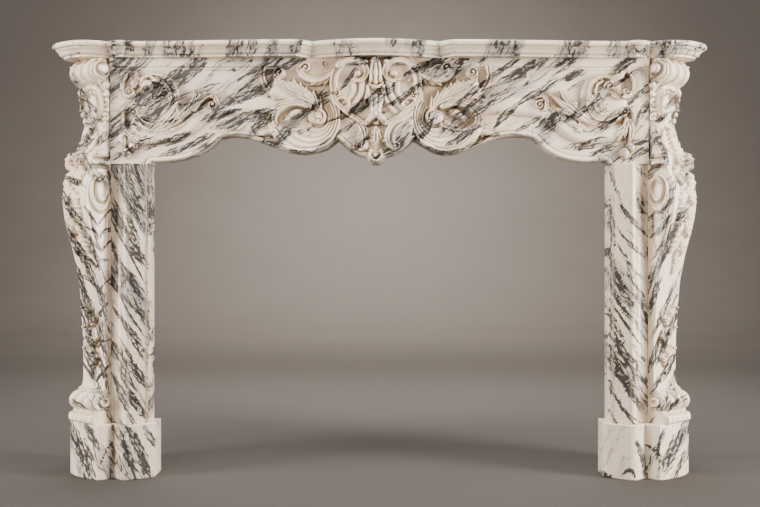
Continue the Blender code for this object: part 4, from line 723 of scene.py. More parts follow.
def carve_right_end(carving):
    """Blade leaves, shell wheels and scrolls at the right end."""
    carving.dome((604, 109), 22, 0.013, stretch=1.2, angle=-30)
    carving.volute((540.6, 104.0), 5.6, 0.027, turns=1.3, start=-60, hand=-1)
    carving.ribbon([(546.4, 108.6), (547.6, 100.6), (543.6, 95.2), (538.0, 95.8)], 2.2,
                   0.026, 1.8, 0.022, hollow=0.25)
    carving.blade([(596, 124), (580, 114.6), (563.6, 103.4), (547.8, 89.4)], 4.2, 0.027)
    carving.blade([(588, 119), (575.4, 107.6), (566.4, 97.6), (561.8, 88.6)], 3.8, 0.027)
    carving.blade([(590, 122), (573, 113.4), (559, 108.6), (551, 101.6)], 3.4, 0.024)
    carving.blade([(592, 117), (581.6, 109.0), (573.0, 99.0)], 3.0, 0.025)
    carving.dome((576.2, 103.4), 2.8, 0.029)
    carving.frond([(600, 130.4), (584, 128.0), (568.6, 120.4), (556, 111.6)],
                  [(577.6, 130.4), (569.6, 125.4), (561.6, 119.4), (554, 114.6),
                   (571.6, 113.4), (581.6, 119.4)], 2.9, 0.021)
    carving.dome((580.6, 130.2), 2.4, 0.024, stretch=1.6, angle=35)
    carving.ribbon([(549.4, 107.0), (560, 112.6), (570.4, 121.4), (579, 128)], 1.9, 0.024,
                   1.5, 0.02)
    carving.dome((604, 94), 21, 0.010)
    carving.fan((607.6, 92), 5, 17.0, 110, 285, 8, 0.016, scallop=0.1, dish=0.45)
    carving.ribbon([(591.8, 98.4), (591.2, 88), (595.6, 79.4), (603.6, 75.2),
                    (611.6, 76.8), (616.4, 83.4)], 2.0, 0.023, 1.9, 0.026, hollow=0.25)
    carving.ribbon([(596.8, 92.4), (598.6, 84.4), (604.0, 80.4)], 1.5, 0.021, hollow=0.2)
    carving.volute((610.8, 85.0), 5.8, 0.029, turns=1.3, start=180, hand=1)
    carving.ribbon([(590.0, 96.6), (589.8, 106), (593.6, 114.0), (600.6, 118.6),
                    (609, 119.0), (616.6, 115.4), (621, 110)], 2.0, 0.021, 2.0, 0.024,
                   hollow=0.25)
    carving.ribbon([(596.4, 103.6), (598.8, 110.6), (605.6, 113.4), (612, 110.6)], 1.5,
                   0.019, hollow=0.2)
    carving.frond([(601.6, 111.6), (605.0, 104.6), (607.2, 96.6)],
                  [(600.8, 100.6), (612.2, 101.6), (611.4, 107.4), (597.6, 106.6)], 2.3,
                  0.025)
    carving.blade([(613.0, 91.0), (617.4, 95.6), (622.0, 99.0)], 2.7, 0.026)
    carving.blade([(614.6, 88.0), (620.6, 91.0), (623.6, 96.0)], 2.1, 0.023)
    carving.ribbon([(630.4, 70.6), (635.2, 77), (636.4, 86), (632.4, 94.6), (625.4, 96.0)],
                   2.1, 0.021, 1.8, 0.023, hollow=0.2)
    carving.volute((628.2, 91.0), 4.8, 0.025, turns=1.2, start=0, hand=1)
    carving.frond([(616.0, 80.4), (620.6, 75.0), (627.6, 68.6)],
                  [(619.6, 68.6), (615.6, 73.2), (627.6, 76.6), (632.6, 65.0)], 2.7, 0.021)
    carving.volute((625.4, 112.0), 5.4, 0.028, turns=1.3, start=-20, hand=-1)
    carving.ridge([(629.8, 107.4), (634.4, 111.4), (635.8, 119), (634.8, 129)], 2.1, 0.020,
                  1.6, 0.016)
    carving.frond([(628.4, 116.6), (626.4, 128), (619.0, 141.0)],
                  [(619.0, 128.0), (616.6, 134.6), (628.0, 138.0)], 3.1, 0.027)
    carving.blade([(631.4, 119), (633.0, 131), (630.6, 143.6)], 3.6, 0.026)
    carving.ridge([(621.4, 116.4), (610.6, 124.4), (598.6, 131.0)], 2.0, 0.020, 1.5, 0.016)
    carving.dome((626.6, 152.6), 4.8, 0.025, stretch=1.25, angle=90)
    carving.dome((633.0, 146.6), 3.8, 0.024, stretch=1.3, angle=60)


def carve_frieze(column, row):
    """Relief of the whole frieze at the given points of its drawing."""
    carving = Carving(column, row)
    carve_grounds(carving)
    for face in (carving, carving.turned_over(CARTOUCHE_COLUMN)):
        carve_ring_disc(face)
        carve_upper_scroll(face)
        carve_edge_flame(face)
    carve_cartouche(carving)
    carve_left_end(carving)
    carve_right_end(carving)
    carve_edge(carving)
    return carving.height


# Front profile of the console: height above the floor and how far it stands out, drawn in
# millimetres and kept in metres
LEG_PROFILE = np.array([
    (159, 60), (166, 65.5), (178, 65.5), (186, 60), (189.5, 48), (198, 50), (206, 60),
    (219, 66), (233, 64), (245, 52), (254, 32), (265, 22), (300, 19), (410, 20), (460, 24),
    (506, 27), (573, 33), (609, 40.5), (655, 51), (696, 63), (734, 74), (770, 82),
    (808, 86), (842, 85), (875, 77), (897, 66), (912, 64), (930, 66), (947, 60),
    (965.5, 42), (987, 30), (1008, 22), (1030, 17), (1049, 14), (1080, 17), (1113, 22),
    (1140, 26), (1152, 34), (1161, 47), (1175, 60), (1190, 64), (1206, 60), (1218, 50),
    (1228, 42)]) / 1000


def drawn_height(height):
    """Height in the console's drawing, in metres, of a real height above the floor."""
    return np.interp(height, [PLINTH_HIGH[2], SHELF_LOW[2]],
                     [LEG_PROFILE[0, 0], LEG_PROFILE[-1, 0]])


def leg_profile(height):
    """How far the console's front stands out at a height of its drawing."""
    path = smooth_path(LEG_PROFILE, 6)
    return np.interp(height, path[:, 0], path[:, 1])


def console_rolls(along, height):
    """The lobes across a console's front, and where its top and foot rolls lie."""
    lobes = np.abs(np.cos(1.5 * math.pi * along / LEG_DRAWN_HALF))
    top = soft_step(height, 1148, 1160)
    foot = soft_step(height, 192, 200) * (1 - soft_step(height, 246, 256))
    return lobes, top, foot


def between_rolls(along, height):
    """0 on the rolls at a console's top and foot, to 1 deep between them."""
    lobes, top, foot = console_rolls(along, height)
    return (top + foot) * (1 - soft_step(lobes, 0.0, 0.34))


def carve_leg_front(along, height):
    """Relief of the console's front face; along and height are in drawn millimetres.

    along runs from the inner arris, negative, to the outer one, positive.
    """
    carving = Carving(along, height)
    lobes, top, foot = console_rolls(along, height)
    carving.height += (0.008 * top + 0.007 * foot) - (0.040 * top + 0.038 * foot) * (
        1 - lobes**0.5)
    carving.ribbon([(56, 1092), (54, 1128), (24, 1150), (-20, 1150), (-48, 1128),
                    (-53, 1090), (-36, 1052)], 12, 0.015, 9, 0.012, hollow=0.6)
    carving.fan((12, 1136), 8, 66, -150, -20, 8, 0.010, scallop=0.2, dish=0.5)
    carving.volute((16, 1132), 17, 0.017, turns=1.2, start=200, hand=1)
    for step in range(4):
        carving.dome((59 - 1.5 * step, 1136 - 21 * step), 12, 0.011)
    for step in range(7):
        carving.dome((-59 + 0.3 * step, 1120 - 14 * step), 8, 0.006)
    carving.leaf([(0, 1108), (-6, 1080), (-14, 1046)], 30, 0.009, lobes=3)
    carving.sink((-18, 1044), 9, 0.006, stretch=1.8, angle=20)
    carving.leaf([(30, 950), (24, 990), (8, 1030)], 30, 0.009, lobes=5)
    carving.leaf([(-30, 950), (-26, 985), (-12, 1022)], 26, 0.009, lobes=5)
    for step in range(6):
        carving.dome((-2 + 1.5 * step, 962 + 12.5 * step), 6.5, 0.012)
    carving.volute((-14, 931), 27, 0.016, turns=1.2, start=60, hand=1)
    carving.leaf([(48, 955), (54, 930), (40, 902)], 24, 0.014, lobes=4)
    carving.leaf([(-8, 905), (-20, 884), (-18, 858)], 28, 0.012, lobes=4)
    carving.leaf([(20, 912), (34, 880), (28, 846)], 28, 0.012, lobes=4)
    carving.sink((-6, 872), 8, 0.006, stretch=1.4, angle=60)
    for base, lean, size in ((846, 1, 26), (800, -1, 24), (752, 1, 22), (704, -1, 20)):
        carving.leaf([(4 * lean, base), (22 * lean, base - 18), (40 * lean, base - 46)],
                     size, 0.012, lobes=4)
        carving.leaf([(-4 * lean, base - 8), (-20 * lean, base - 26),
                      (-30 * lean, base - 54)], size * 0.8, 0.010, lobes=3)
        carving.dome((2 * lean, base - 14), 10, 0.013)
        carving.dome((14 * lean, base - 34), 7, 0.012)
        carving.sink((6 * lean, base - 30), 5, 0.005)
    carving.leaf([(-6, 662), (6, 630), (0, 596)], 16, 0.009, lobes=4)
    for base, lean in ((470, 1), (440, -1), (412, 1), (380, -1), (350, 1), (322, -1)):
        carving.leaf([(2 * lean, base), (12 * lean, base + 14), (26 * lean, base + 24)],
                     11, 0.011, lobes=2)
        carving.dome((30 * lean, base + 26), 6.5, 0.013)
    carving.ridge([(-2, 300), (4, 350), (-3, 400), (3, 450), (0, 486)], 3.5, 0.004)
    torus = soft_step(height, 160, 164) * (1 - soft_step(height, 184, 188))
    nicks = np.abs(np.cos(2.5 * math.pi * along / LEG_DRAWN_HALF))**0.5
    carving.height += torus * 0.003 * nicks
    return carving.height


def carve_leg_side(out, height):
    """Relief of a console's side face, in drawn millimetres.

    out runs from the corner to the front arris.
    """
    carving = Carving(out, height)
    carving.disc((33, 1193), 29, 0.006)
    carving.disc((30, 1195), 16, 0.012, base=0.003)
    carving.height -= 0.005 * np.exp(
        -((np.hypot(out - 31, height - 1194) - 19) / 2.6)**2)
    carving.ridge([(12, 1154), (11, 1120), (12, 1080), (19, 1044)], 4.0, 0.005)
    for step in range(5):
        carving.dome((17 + 0.6 * step, 1148 - 23 * step), 11, 0.011, stretch=1.2, angle=80)
    carving.ridge([(20, 1040), (19, 1005), (28, 975), (42, 950)], 4, 0.004)
    for low, high, rise in ((906, 912, 0.003), (914, 934, 0.006), (936, 941, 0.003)):
        band = soft_step(height, low, low + 2) * (1 - soft_step(height, high - 2, high))
        carving.height += band * rise
    ring = np.hypot((out - 37) / 33, (height - 833) / 56)
    carving.height += 0.006 * np.exp(-((ring - 0.9) / 0.11)**2)
    ring = np.hypot((out - 31) / 21, (height - 843) / 36)
    carving.height += 0.0045 * np.exp(-((ring - 0.84) / 0.15)**2)
    carving.height -= 0.0035 * np.exp(-((ring - 1.1) / 0.07)**2)
    carving.ridge([(62, 770), (52, 720), (38, 680), (26, 668)], 4.5, 0.005, 3, 0.002)
    carving.ridge([(12, 770), (14, 720), (18, 685), (26, 668)], 3.5, 0.004, 3, 0.002)
    carving.disc((34, 222), 25, 0.004)
    carving.disc((26, 222), 15, 0.010, base=0.002)
    carving.sink((26, 222), 8, 0.006)
    return carving.height * soft_step(out, 3, 9)


# Bands of veins, with a few of painted shade among them, on the elevation's squared paper:
# marks, half width in squares, number of dark lines, and how grey the stone is between them
FRIEZE_BANDS = [
    ([(430, 72), (446, 64), (462, 57)], 1.4, 2, 0.5),
    ([(520, 104), (548, 88), (580, 66)], 1.0, 2, 0.4),
    ([(470, 118), (492, 104), (516, 92)], 1.3, 2, 0.5),
    ([(590, 130), (612, 118), (640, 104)], 1.6, 2, 0.5),
    ([(556, 150), (580, 144), (606, 138)], 1.5, 2, 0.5),
    ([(600, 92), (622, 80), (646, 66)], 1.6, 2, 0.5),
    ([(108, 86), (128, 73), (150, 57)], 1.5, 2, 0.3),
    ([(108, 78), (121, 68), (138, 56)], 3.4, 4, 0.6),
    ([(108, 66), (118, 61), (126, 56)], 4.0, 4, 0.8),
    ([(199, 56), (180, 75), (153, 95), (131, 110)], 7.6, 6, 0.75),
    ([(166, 80), (149, 91), (133, 106)], 5.0, 3, 1.0),
    ([(209, 56), (197, 66), (185, 75), (171, 86)], 6.0, 4, 0.85),
    ([(134, 118), (122, 127), (107, 141)], 4.0, 4, 0.85),
    ([(107, 161), (115, 157), (123, 151)], 1.8, 2, 0.6),
    ([(147, 129), (158, 118), (173, 102), (187, 95)], 1.6, 2, 0.4),
    ([(170, 100), (189, 93), (205, 87), (216, 84), (231, 82)], 0.7, 1, 0.0),
    ([(244, 77), (256, 69), (272, 58)], 1.7, 2, 0.7),
    ([(229, 97), (246, 85), (262, 75)], 0.6, 1, 0.0),
    ([(212, 108), (236, 99), (258, 92), (278, 81)], 4.6, 5, 0.8),
    ([(205, 124), (222, 115), (241, 109)], 2.8, 3, 0.9),
    ([(212, 129), (232, 123), (256, 114), (273, 110)], 4.4, 5, 0.95),
    ([(248, 133), (262, 124), (276, 112)], 3.4, 3, 0.7),
    ([(158, 156), (178, 150), (197, 142), (213, 133)], 2.6, 3, 0.75),
    ([(140, 149), (158, 143), (177, 138), (195, 131)], 2.4, 3, 0.7),
    ([(156, 146), (170, 143), (185, 140)], 1.4, 2, 0.8),
    ([(120, 158), (132, 150), (147, 142)], 3.0, 2, 0.6),
    ([(137, 141), (150, 138), (164, 133)], 0.9, 1, 0.3),
    ([(262, 75), (278, 69), (294, 62), (309, 57)], 3.0, 4, 0.85),
    ([(287, 66), (274, 76), (264, 86), (252, 96)], 1.7, 2, 0.4),
    ([(359, 65), (350, 77), (340, 90)], 1.7, 2, 0.8),
    ([(335, 91), (325, 95), (313, 98)], 1.6, 3, 0.8),
    ([(333, 98), (323, 103), (315, 108)], 1.5, 2, 0.6),
    ([(314, 105), (304, 112), (294, 120), (288, 128)], 2.0, 3, 0.6),
    ([(345, 116), (330, 121), (316, 126), (302, 133), (287, 140)], 0.9, 1, 0.1),
    ([(275, 142), (284, 136), (292, 127)], 4.4, 4, 0.9),
    ([(252, 125), (262, 119), (275, 112)], 4.6, 5, 0.8),
    ([(257, 140), (272, 144), (286, 147)], 2.0, 2, 0.8),
    ([(286, 149), (300, 152), (317, 152)], 1.1, 2, 0.5),
    ([(355, 121), (346, 129), (337, 135)], 1.5, 2, 0.6),
    ([(352, 150), (362, 143), (373, 134)], 2.3, 3, 0.8),
    ([(341, 146), (349, 152), (359, 155)], 1.8, 2, 0.7),
    ([(342, 118), (358, 108), (372, 100), (386, 91), (399, 84)], 5.0, 6, 0.7),
    ([(347, 59), (362, 58), (380, 58), (397, 60)], 1.6, 2, 0.6),
    ([(350, 66), (360, 62), (371, 66)], 1.6, 2, 0.3),
    ([(382, 108), (398, 101), (412, 90), (428, 77)], 2.4, 3, 0.6),
    ([(406, 76), (420, 68), (436, 61), (451, 56)], 4.0, 5, 0.85),
    ([(447, 113), (465, 98), (490, 79), (518, 58)], 2.4, 3, 0.7),
    ([(466, 99), (486, 89), (517, 79)], 0.9, 1, 0.2),
    ([(479, 105), (498, 95), (517, 87)], 1.2, 2, 0.3),
    ([(493, 129), (504, 117), (517, 107)], 2.0, 2, 0.6),
    ([(462, 130), (476, 127), (489, 123)], 1.5, 2, 0.5),
    ([(445, 147), (462, 137), (479, 127)], 2.8, 4, 0.9),
    ([(419, 141), (428, 128), (434, 115)], 2.0, 3, 0.9),
    ([(421, 145), (438, 151), (452, 152), (467, 149)], 1.6, 2, 0.9),
    ([(462, 148), (478, 142), (491, 136)], 1.5, 2, 0.6),
    ([(494, 75), (507, 66), (521, 57)], 1.6, 2, 0.5),
    ([(494, 86), (520, 72), (547, 57)], 3.2, 4, 0.6),
    ([(550, 69), (562, 63), (579, 57)], 3.4, 4, 0.7),
    ([(565, 81), (575, 75), (585, 70)], 3.0, 3, 0.7),
    ([(493, 129), (502, 116), (530, 96), (557, 79)], 1.8, 2, 0.5),
    ([(566, 91), (576, 86), (586, 80)], 1.2, 2, 0.4),
    ([(610, 72), (624, 64), (640, 56)], 4.4, 5, 0.85),
    ([(557, 126), (583, 111), (608, 94)], 2.6, 3, 0.65),
    ([(537, 132), (550, 122), (561, 113)], 6.6, 6, 0.95),
    ([(516, 132), (530, 123), (544, 114)], 1.8, 2, 0.6),
    ([(625, 106), (638, 95), (651, 86)], 2.6, 3, 0.6),
    ([(634, 128), (642, 112), (651, 100)], 2.4, 3, 0.6),
    ([(594, 135), (608, 124), (622, 116)], 2.4, 3, 0.6),
    ([(561, 149), (590, 147), (615, 142)], 1.8, 2, 0.6),
    ([(587, 157), (604, 150), (621, 144)], 2.2, 3, 0.7),
    ([(628, 162), (640, 152), (651, 148)], 2.6, 3, 0.7),
]
CONSOLE_BANDS = {
    "left": [
        # The first two bands are painted shade, in the shell's hollow and the pocket below
        # it
        ([(80, 99), (90, 105), (98, 116)], 2.0, 3, 0.7),
        ([(84, 124), (92, 125), (101, 117)], 1.8, 2, 0.8),
        ([(83, 142), (90, 134), (98, 126)], 2.8, 3, 0.7),
        ([(70, 154), (84, 145), (94, 137)], 2.0, 3, 0.5),
        ([(94, 146), (104, 137), (113, 130)], 3.0, 3, 0.7),
        ([(97, 165), (106, 159), (113, 151)], 2.2, 3, 0.8),
        ([(94, 184), (100, 180), (105, 175)], 0.9, 2, 0.4),
        ([(60, 176), (72, 180), (86, 186)], 2.4, 3, 0.6),
        ([(60, 190), (74, 214), (90, 240)], 3.8, 5, 0.6),
        ([(64, 222), (79, 250), (93, 276)], 3.8, 6, 0.6),
        ([(68, 250), (77, 272), (87, 300)], 2.8, 5, 0.5),
        ([(76, 262), (84, 290), (92, 328)], 2.4, 4, 0.5),
        ([(78, 290), (88, 330), (99, 374)], 2.8, 5, 0.5),
        ([(82, 340), (88, 356), (98, 386)], 2.2, 4, 0.5),
        ([(86, 232), (96, 256), (106, 284)], 1.6, 3, 0.5),
        ([(88, 262), (98, 290), (109, 326)], 1.8, 3, 0.5),
        ([(92, 300), (100, 334), (109, 366)], 1.8, 3, 0.6),
        ([(96, 346), (102, 366), (109, 394)], 1.6, 3, 0.5),
        ([(66, 398), (78, 404), (88, 412)], 1.6, 2, 0.3),
    ],
    "right": [
        ([(664, 112), (672, 102), (678, 92)], 2.4, 3, 0.6),
        ([(655, 124), (661, 119), (667, 112)], 2.4, 4, 0.8),
        ([(655, 138), (664, 150), (668, 166)], 2.4, 4, 0.7),
        ([(648, 148), (654, 142), (660, 134)], 1.8, 3, 0.6),
        ([(645, 178), (654, 170), (664, 162)], 3.4, 4, 0.7),
        ([(648, 186), (660, 184), (672, 176)], 0.9, 1, 0.2),
        ([(660, 212), (668, 204), (676, 196)], 2.6, 3, 0.8),
        ([(645, 222), (652, 216), (658, 208)], 1.2, 2, 0.4),
        ([(652, 238), (660, 230), (672, 214)], 2.6, 4, 0.7),
        ([(660, 262), (672, 234), (688, 200)], 3.6, 5, 0.75),
        ([(648, 262), (664, 244), (680, 222)], 1.4, 2, 0.4),
        ([(646, 292), (656, 268), (672, 240)], 3.4, 5, 0.75),
        ([(648, 320), (654, 296), (660, 276)], 2.6, 4, 0.7),
        ([(650, 344), (664, 310), (682, 268)], 1.8, 3, 0.5),
        ([(656, 366), (668, 336), (680, 300)], 2.6, 4, 0.6),
        ([(648, 372), (655, 352), (664, 326)], 2.0, 3, 0.6),
        ([(650, 392), (664, 374), (678, 350)], 3.0, 4, 0.65),
        ([(664, 416), (674, 404), (688, 396)], 2.0, 3, 0.5),
    ],
}
# Ochre lines down the uprights, stain and painted shade in the reveal's groove and painted
# shade beside the bead: distance from the centre line in metres, and strength
JAMB_STAIN_AND_SHADE_SEAMS = ((JAMB_LOW[0] + 0.003, 0.9), (0.7300, 0.55), (0.7480, 0.55))

JAMB_BANDS = {
    "left": [
        # A thin dark line down the reveal's groove: ochre stain and painted shade
        ([(147.0, 163), (146.6, 300), (147.0, 426)], 0.3, 1, 0.3),
        ([(113, 170), (117, 186), (121, 206)], 1.0, 1, 0.2),
        ([(124, 160), (129, 178), (138, 196)], 2.6, 3, 0.5),
        ([(111, 203), (117, 220), (122, 240)], 4.2, 6, 0.8),
        ([(111, 236), (117, 258), (124, 288)], 2.8, 4, 0.6),
        ([(127, 190), (136, 204), (147, 216)], 3.0, 4, 0.7),
        ([(126, 208), (132, 228), (140, 250)], 3.0, 5, 0.6),
        ([(123, 236), (134, 250), (148, 268)], 4.2, 6, 0.8),
        ([(125, 270), (135, 284), (144, 296)], 4.4, 7, 0.85),
        ([(125, 294), (136, 310), (149, 326)], 2.2, 3, 0.6),
        ([(121, 316), (134, 336), (149, 358)], 2.6, 4, 0.7),
        ([(111, 302), (118, 316), (125, 330)], 1.2, 2, 0.4),
        ([(111, 336), (118, 352), (126, 374)], 4.0, 6, 0.7),
        ([(125, 354), (137, 372), (151, 392)], 4.0, 6, 0.7),
        ([(111, 372), (120, 388), (129, 408)], 2.0, 3, 0.6),
        ([(124, 386), (136, 404), (150, 422)], 4.4, 6, 0.75),
        ([(147, 176), (151, 212), (154, 262)], 2.4, 4, 0.6),
        ([(148, 296), (152, 346), (154, 402)], 2.0, 3, 0.5),
    ],
    "right": [
        # A thin dark line down the reveal's groove: ochre stain and painted shade
        ([(610.6, 163), (610.9, 300), (610.6, 426)], 0.3, 1, 0.3),
        ([(604, 190), (610, 214), (614, 244)], 3.0, 5, 0.6),
        ([(610, 166), (616, 190), (628, 222)], 1.4, 2, 0.5),
        ([(620, 204), (634, 222), (650, 238)], 1.8, 3, 0.6),
        ([(634, 164), (640, 172), (648, 180)], 1.4, 2, 0.5),
        ([(612, 218), (626, 240), (650, 262)], 1.6, 3, 0.5),
        ([(612, 236), (628, 262), (648, 284)], 1.6, 2, 0.5),
        ([(604, 240), (614, 268), (628, 300)], 3.2, 6, 0.55),
        ([(612, 288), (622, 306), (630, 318)], 2.4, 4, 0.55),
        ([(628, 270), (638, 290), (648, 306)], 2.0, 3, 0.5),
        ([(604, 300), (614, 322), (626, 344)], 2.4, 4, 0.55),
        ([(610, 330), (622, 352), (640, 366)], 3.0, 5, 0.55),
        ([(628, 340), (638, 352), (648, 364)], 1.4, 2, 0.4),
        ([(608, 344), (618, 368), (630, 398)], 3.2, 6, 0.55),
        ([(604, 366), (612, 390), (622, 402)], 1.6, 2, 0.5),
        ([(624, 376), (634, 396), (646, 412)], 2.8, 4, 0.6),
        ([(614, 398), (628, 414), (640, 424)], 1.4, 2, 0.4),
    ],
}
PLINTH_BANDS = {
    "left": [
        ([(66, 418), (79, 446), (95, 484)], 5.0, 7, 0.7),
        ([(83, 422), (91, 434), (98, 448)], 3.0, 5, 0.8),
        ([(84, 438), (91, 454), (98, 467)], 0.9, 2, 0.4),
        ([(98, 467), (104, 456), (112, 440)], 0.9, 2, 0.4),
        ([(113, 422), (124, 446), (137, 482)], 3.4, 4, 0.6),
        ([(126, 422), (138, 448), (151, 484)], 5.0, 8, 0.8),
        ([(142, 422), (150, 436), (160, 452)], 3.0, 4, 0.6),
        ([(110, 436), (113, 458), (111, 482)], 1.5, 2, 0.6),
    ],
    "right": [
        ([(646, 474), (656, 452), (668, 424)], 2.4, 3, 0.5),
        ([(660, 476), (672, 452), (690, 420)], 5.6, 8, 0.7),
        ([(672, 480), (682, 462), (692, 440)], 2.4, 3, 0.5),
        ([(646, 444), (656, 452), (662, 462)], 2.0, 3, 0.5),
        ([(636, 438), (642, 456), (646, 480)], 2.2, 3, 0.8),
        ([(600, 466), (604, 474), (616, 478)], 1.6, 3, 0.8),
        ([(620, 476), (630, 470), (636, 480)], 2.0, 3, 0.8),
    ],
}
# Rows where the left console's veins turn in a point, as the block was cut across its bed
POINTED_VEIN_ROWS = (226, 239, 253, 269, 292, 319, 350, 382)
POINTED_VEIN_COLUMN = 98.5


def pointed_veins():
    """The left console's pointed veins: a stroke down to each point, and one up from it."""
    bands = []
    for row in POINTED_VEIN_ROWS:
        column = POINTED_VEIN_COLUMN + 2.5 * math.sin(row)
        heavy = 1.6 + 0.9 * math.sin(2.3 * row)
        lift = 17 + 5 * math.sin(1.7 * row)
        bands.append(([(column - 15, row - lift), (column - 6, row - 9), (column, row)],
                      heavy, 3, 0.6))
        bands.append(([(column, row), (column + 5, row - 8),
                       (column + 14, row - lift + 3)], 0.8 * heavy, 3, 0.6))
    return bands


def thin_veins(columns, rows, drops, sway, swell):
    """Thin slanting veins, one from each of the rows.

    columns are those of a vein's three marks, drops is how far below the row the second
    and the third lie, and sway and swell vary the bend and the width from row to row.
    """
    return [([(columns[0], row), (columns[1], row + drops[0] + 6 * math.sin(sway * step)),
              (columns[2], row + drops[1])], 1.2 + 0.7 * math.sin(swell * step), 3, 0.5)
            for step, row in enumerate(rows)]


CONSOLE_BANDS["left"] += pointed_veins()
JAMB_BANDS["left"] += thin_veins((113, 128, 146), range(172, 406, 26), (30, 62), 1.9, 2.7)
JAMB_BANDS["right"] += thin_veins((604, 622, 645), range(250, 418, 21), (32, 60), 2.1, 1.7)

# Nets of fine veins: spacing in metres, how much longer than broad, how wide the lines
# are, the density at which they start, and how dark they are
VEIN_NETS = (
    (0.030, 8.0, 0.045, 0.12, 1.0),
    (0.013, 7.0, 0.060, 0.30, 0.9),
    (0.0065, 5.0, 0.060, 0.50, 0.65),
)
# Grain sizes in metres, along, across and up the veins: dense patches, broken streaks and
# the mist of grey between the lines
PATCH_GRAIN = (0.32, 0.3, 0.07)
STREAK_GRAIN = (0.016, 0.012, 0.0045)
MIST_GRAIN = (0.05, 0.04, 0.014)
VEIN_WANDER = 0.035

# Each block's stone: the veins' main slope in degrees, the shift of its pattern in metres,
# and how much veining runs outside the drawn bands
STONES = {
    "mantel_shelf": (78, (3.1, 0.4, 0.2), 0.6),
    "frieze": (38, (0.3, 1.2, 0.7), 0.52),
    "leg_left": (-60, (0.2, 0.1, -0.9), 0.5),
    "leg_right": (60, (0.2, 0.1, 0.9), 0.5),
    "jamb_left": (-60, (1.7, 0.3, -0.4), 0.65),
    "jamb_right": (-58, (1.7, 0.3, 0.4), 0.45),
    "plinth_left": (-64, (2.4, 0.9, -0.7), 0.5),
    "plinth_right": (62, (2.4, 0.9, 0.7), 0.2),
    "return_left": (62, (4.4, 1.9, -0.3), 0.8),
    "return_right": (62, (4.4, 1.9, 0.3), 0.8),
}


def elevation(x, y, z):
    """Column and row of a point in the elevation, seen from the middle of the room."""
    scale = FOCAL_PIXELS / (y + VIEW_DISTANCE)
    return MIDDLE_COLUMN + x * scale, HORIZON_ROW - (z - EYE_HEIGHT) * scale


def drawn_veins(column, row, bands):
    """How grey the drawn bands make each point, and how near it is to a dark line.

    The second value is 1 on a line, 0.5 at its edge, and falls off evenly beyond.
    """
    face = Carving(column, row)
    grey = np.zeros_like(column)
    line = np.full_like(column, -2.0)
    for number, (marks, half, count, fill) in enumerate(bands):
        path = smooth_path(marks, 6)
        length = np.hypot(*np.diff(path, axis=0).T).sum()
        where, t, d = face.along(path, 1.4 * half + 4.0)
        taper = np.sin(math.pi * np.clip(t, 0.02, 0.98))**0.35
        body = 1 - soft_step(np.abs(d), 0.55 * half * taper, 1.25 * half * taper + 0.8)
        body *= 0.35 + 0.65 * soft_step(t, 0.0, 0.22) * (1 - soft_step(t, 0.78, 1.0))
        grey[where] = np.maximum(grey[where], fill * body)
        for index in range(count):
            level = 2 * index / (count - 1) - 1 if count > 1 else 0.0
            phase = 1.7 * number + 2.3 * index
            sway = (0.5 * np.sin(0.23 * length * t + phase)
                    + 0.32 * np.sin(0.61 * length * t + 2.1 * phase)) * (0.4 + 0.3 * half)
            early = 0.16 * (1 + math.sin(3.1 * phase))
            late = 1 - 0.16 * (1 + math.sin(4.3 * phase))
            ends = soft_step(t, early - 0.16, early + 0.1) * (
                1 - soft_step(t, late - 0.1, late + 0.16))
            width = (0.60 + 0.30 * np.sin(0.17 * length * t + phase)) * ends + 0.02
            spread = level * half * (0.5 + 0.45 * taper)
            nearness = 1 - 0.5 * np.abs(d - spread - sway) / width
            line[where] = np.maximum(line[where], np.maximum(nearness, -2.0))
    return grey, line


def paint_veins(builder, bands):
    """Note on every corner how grey and how dark the drawn bands make the stone."""
    places = np.array([corner.co for corner in builder.verts])
    painted = drawn_veins(*elevation(*places.T), bands)
    for name, values in zip(("grey", "line"), painted):
        layer = builder.verts.layers.float.new(name)
        for corner, value in zip(builder.verts, values.tolist()):
            corner[layer] = value


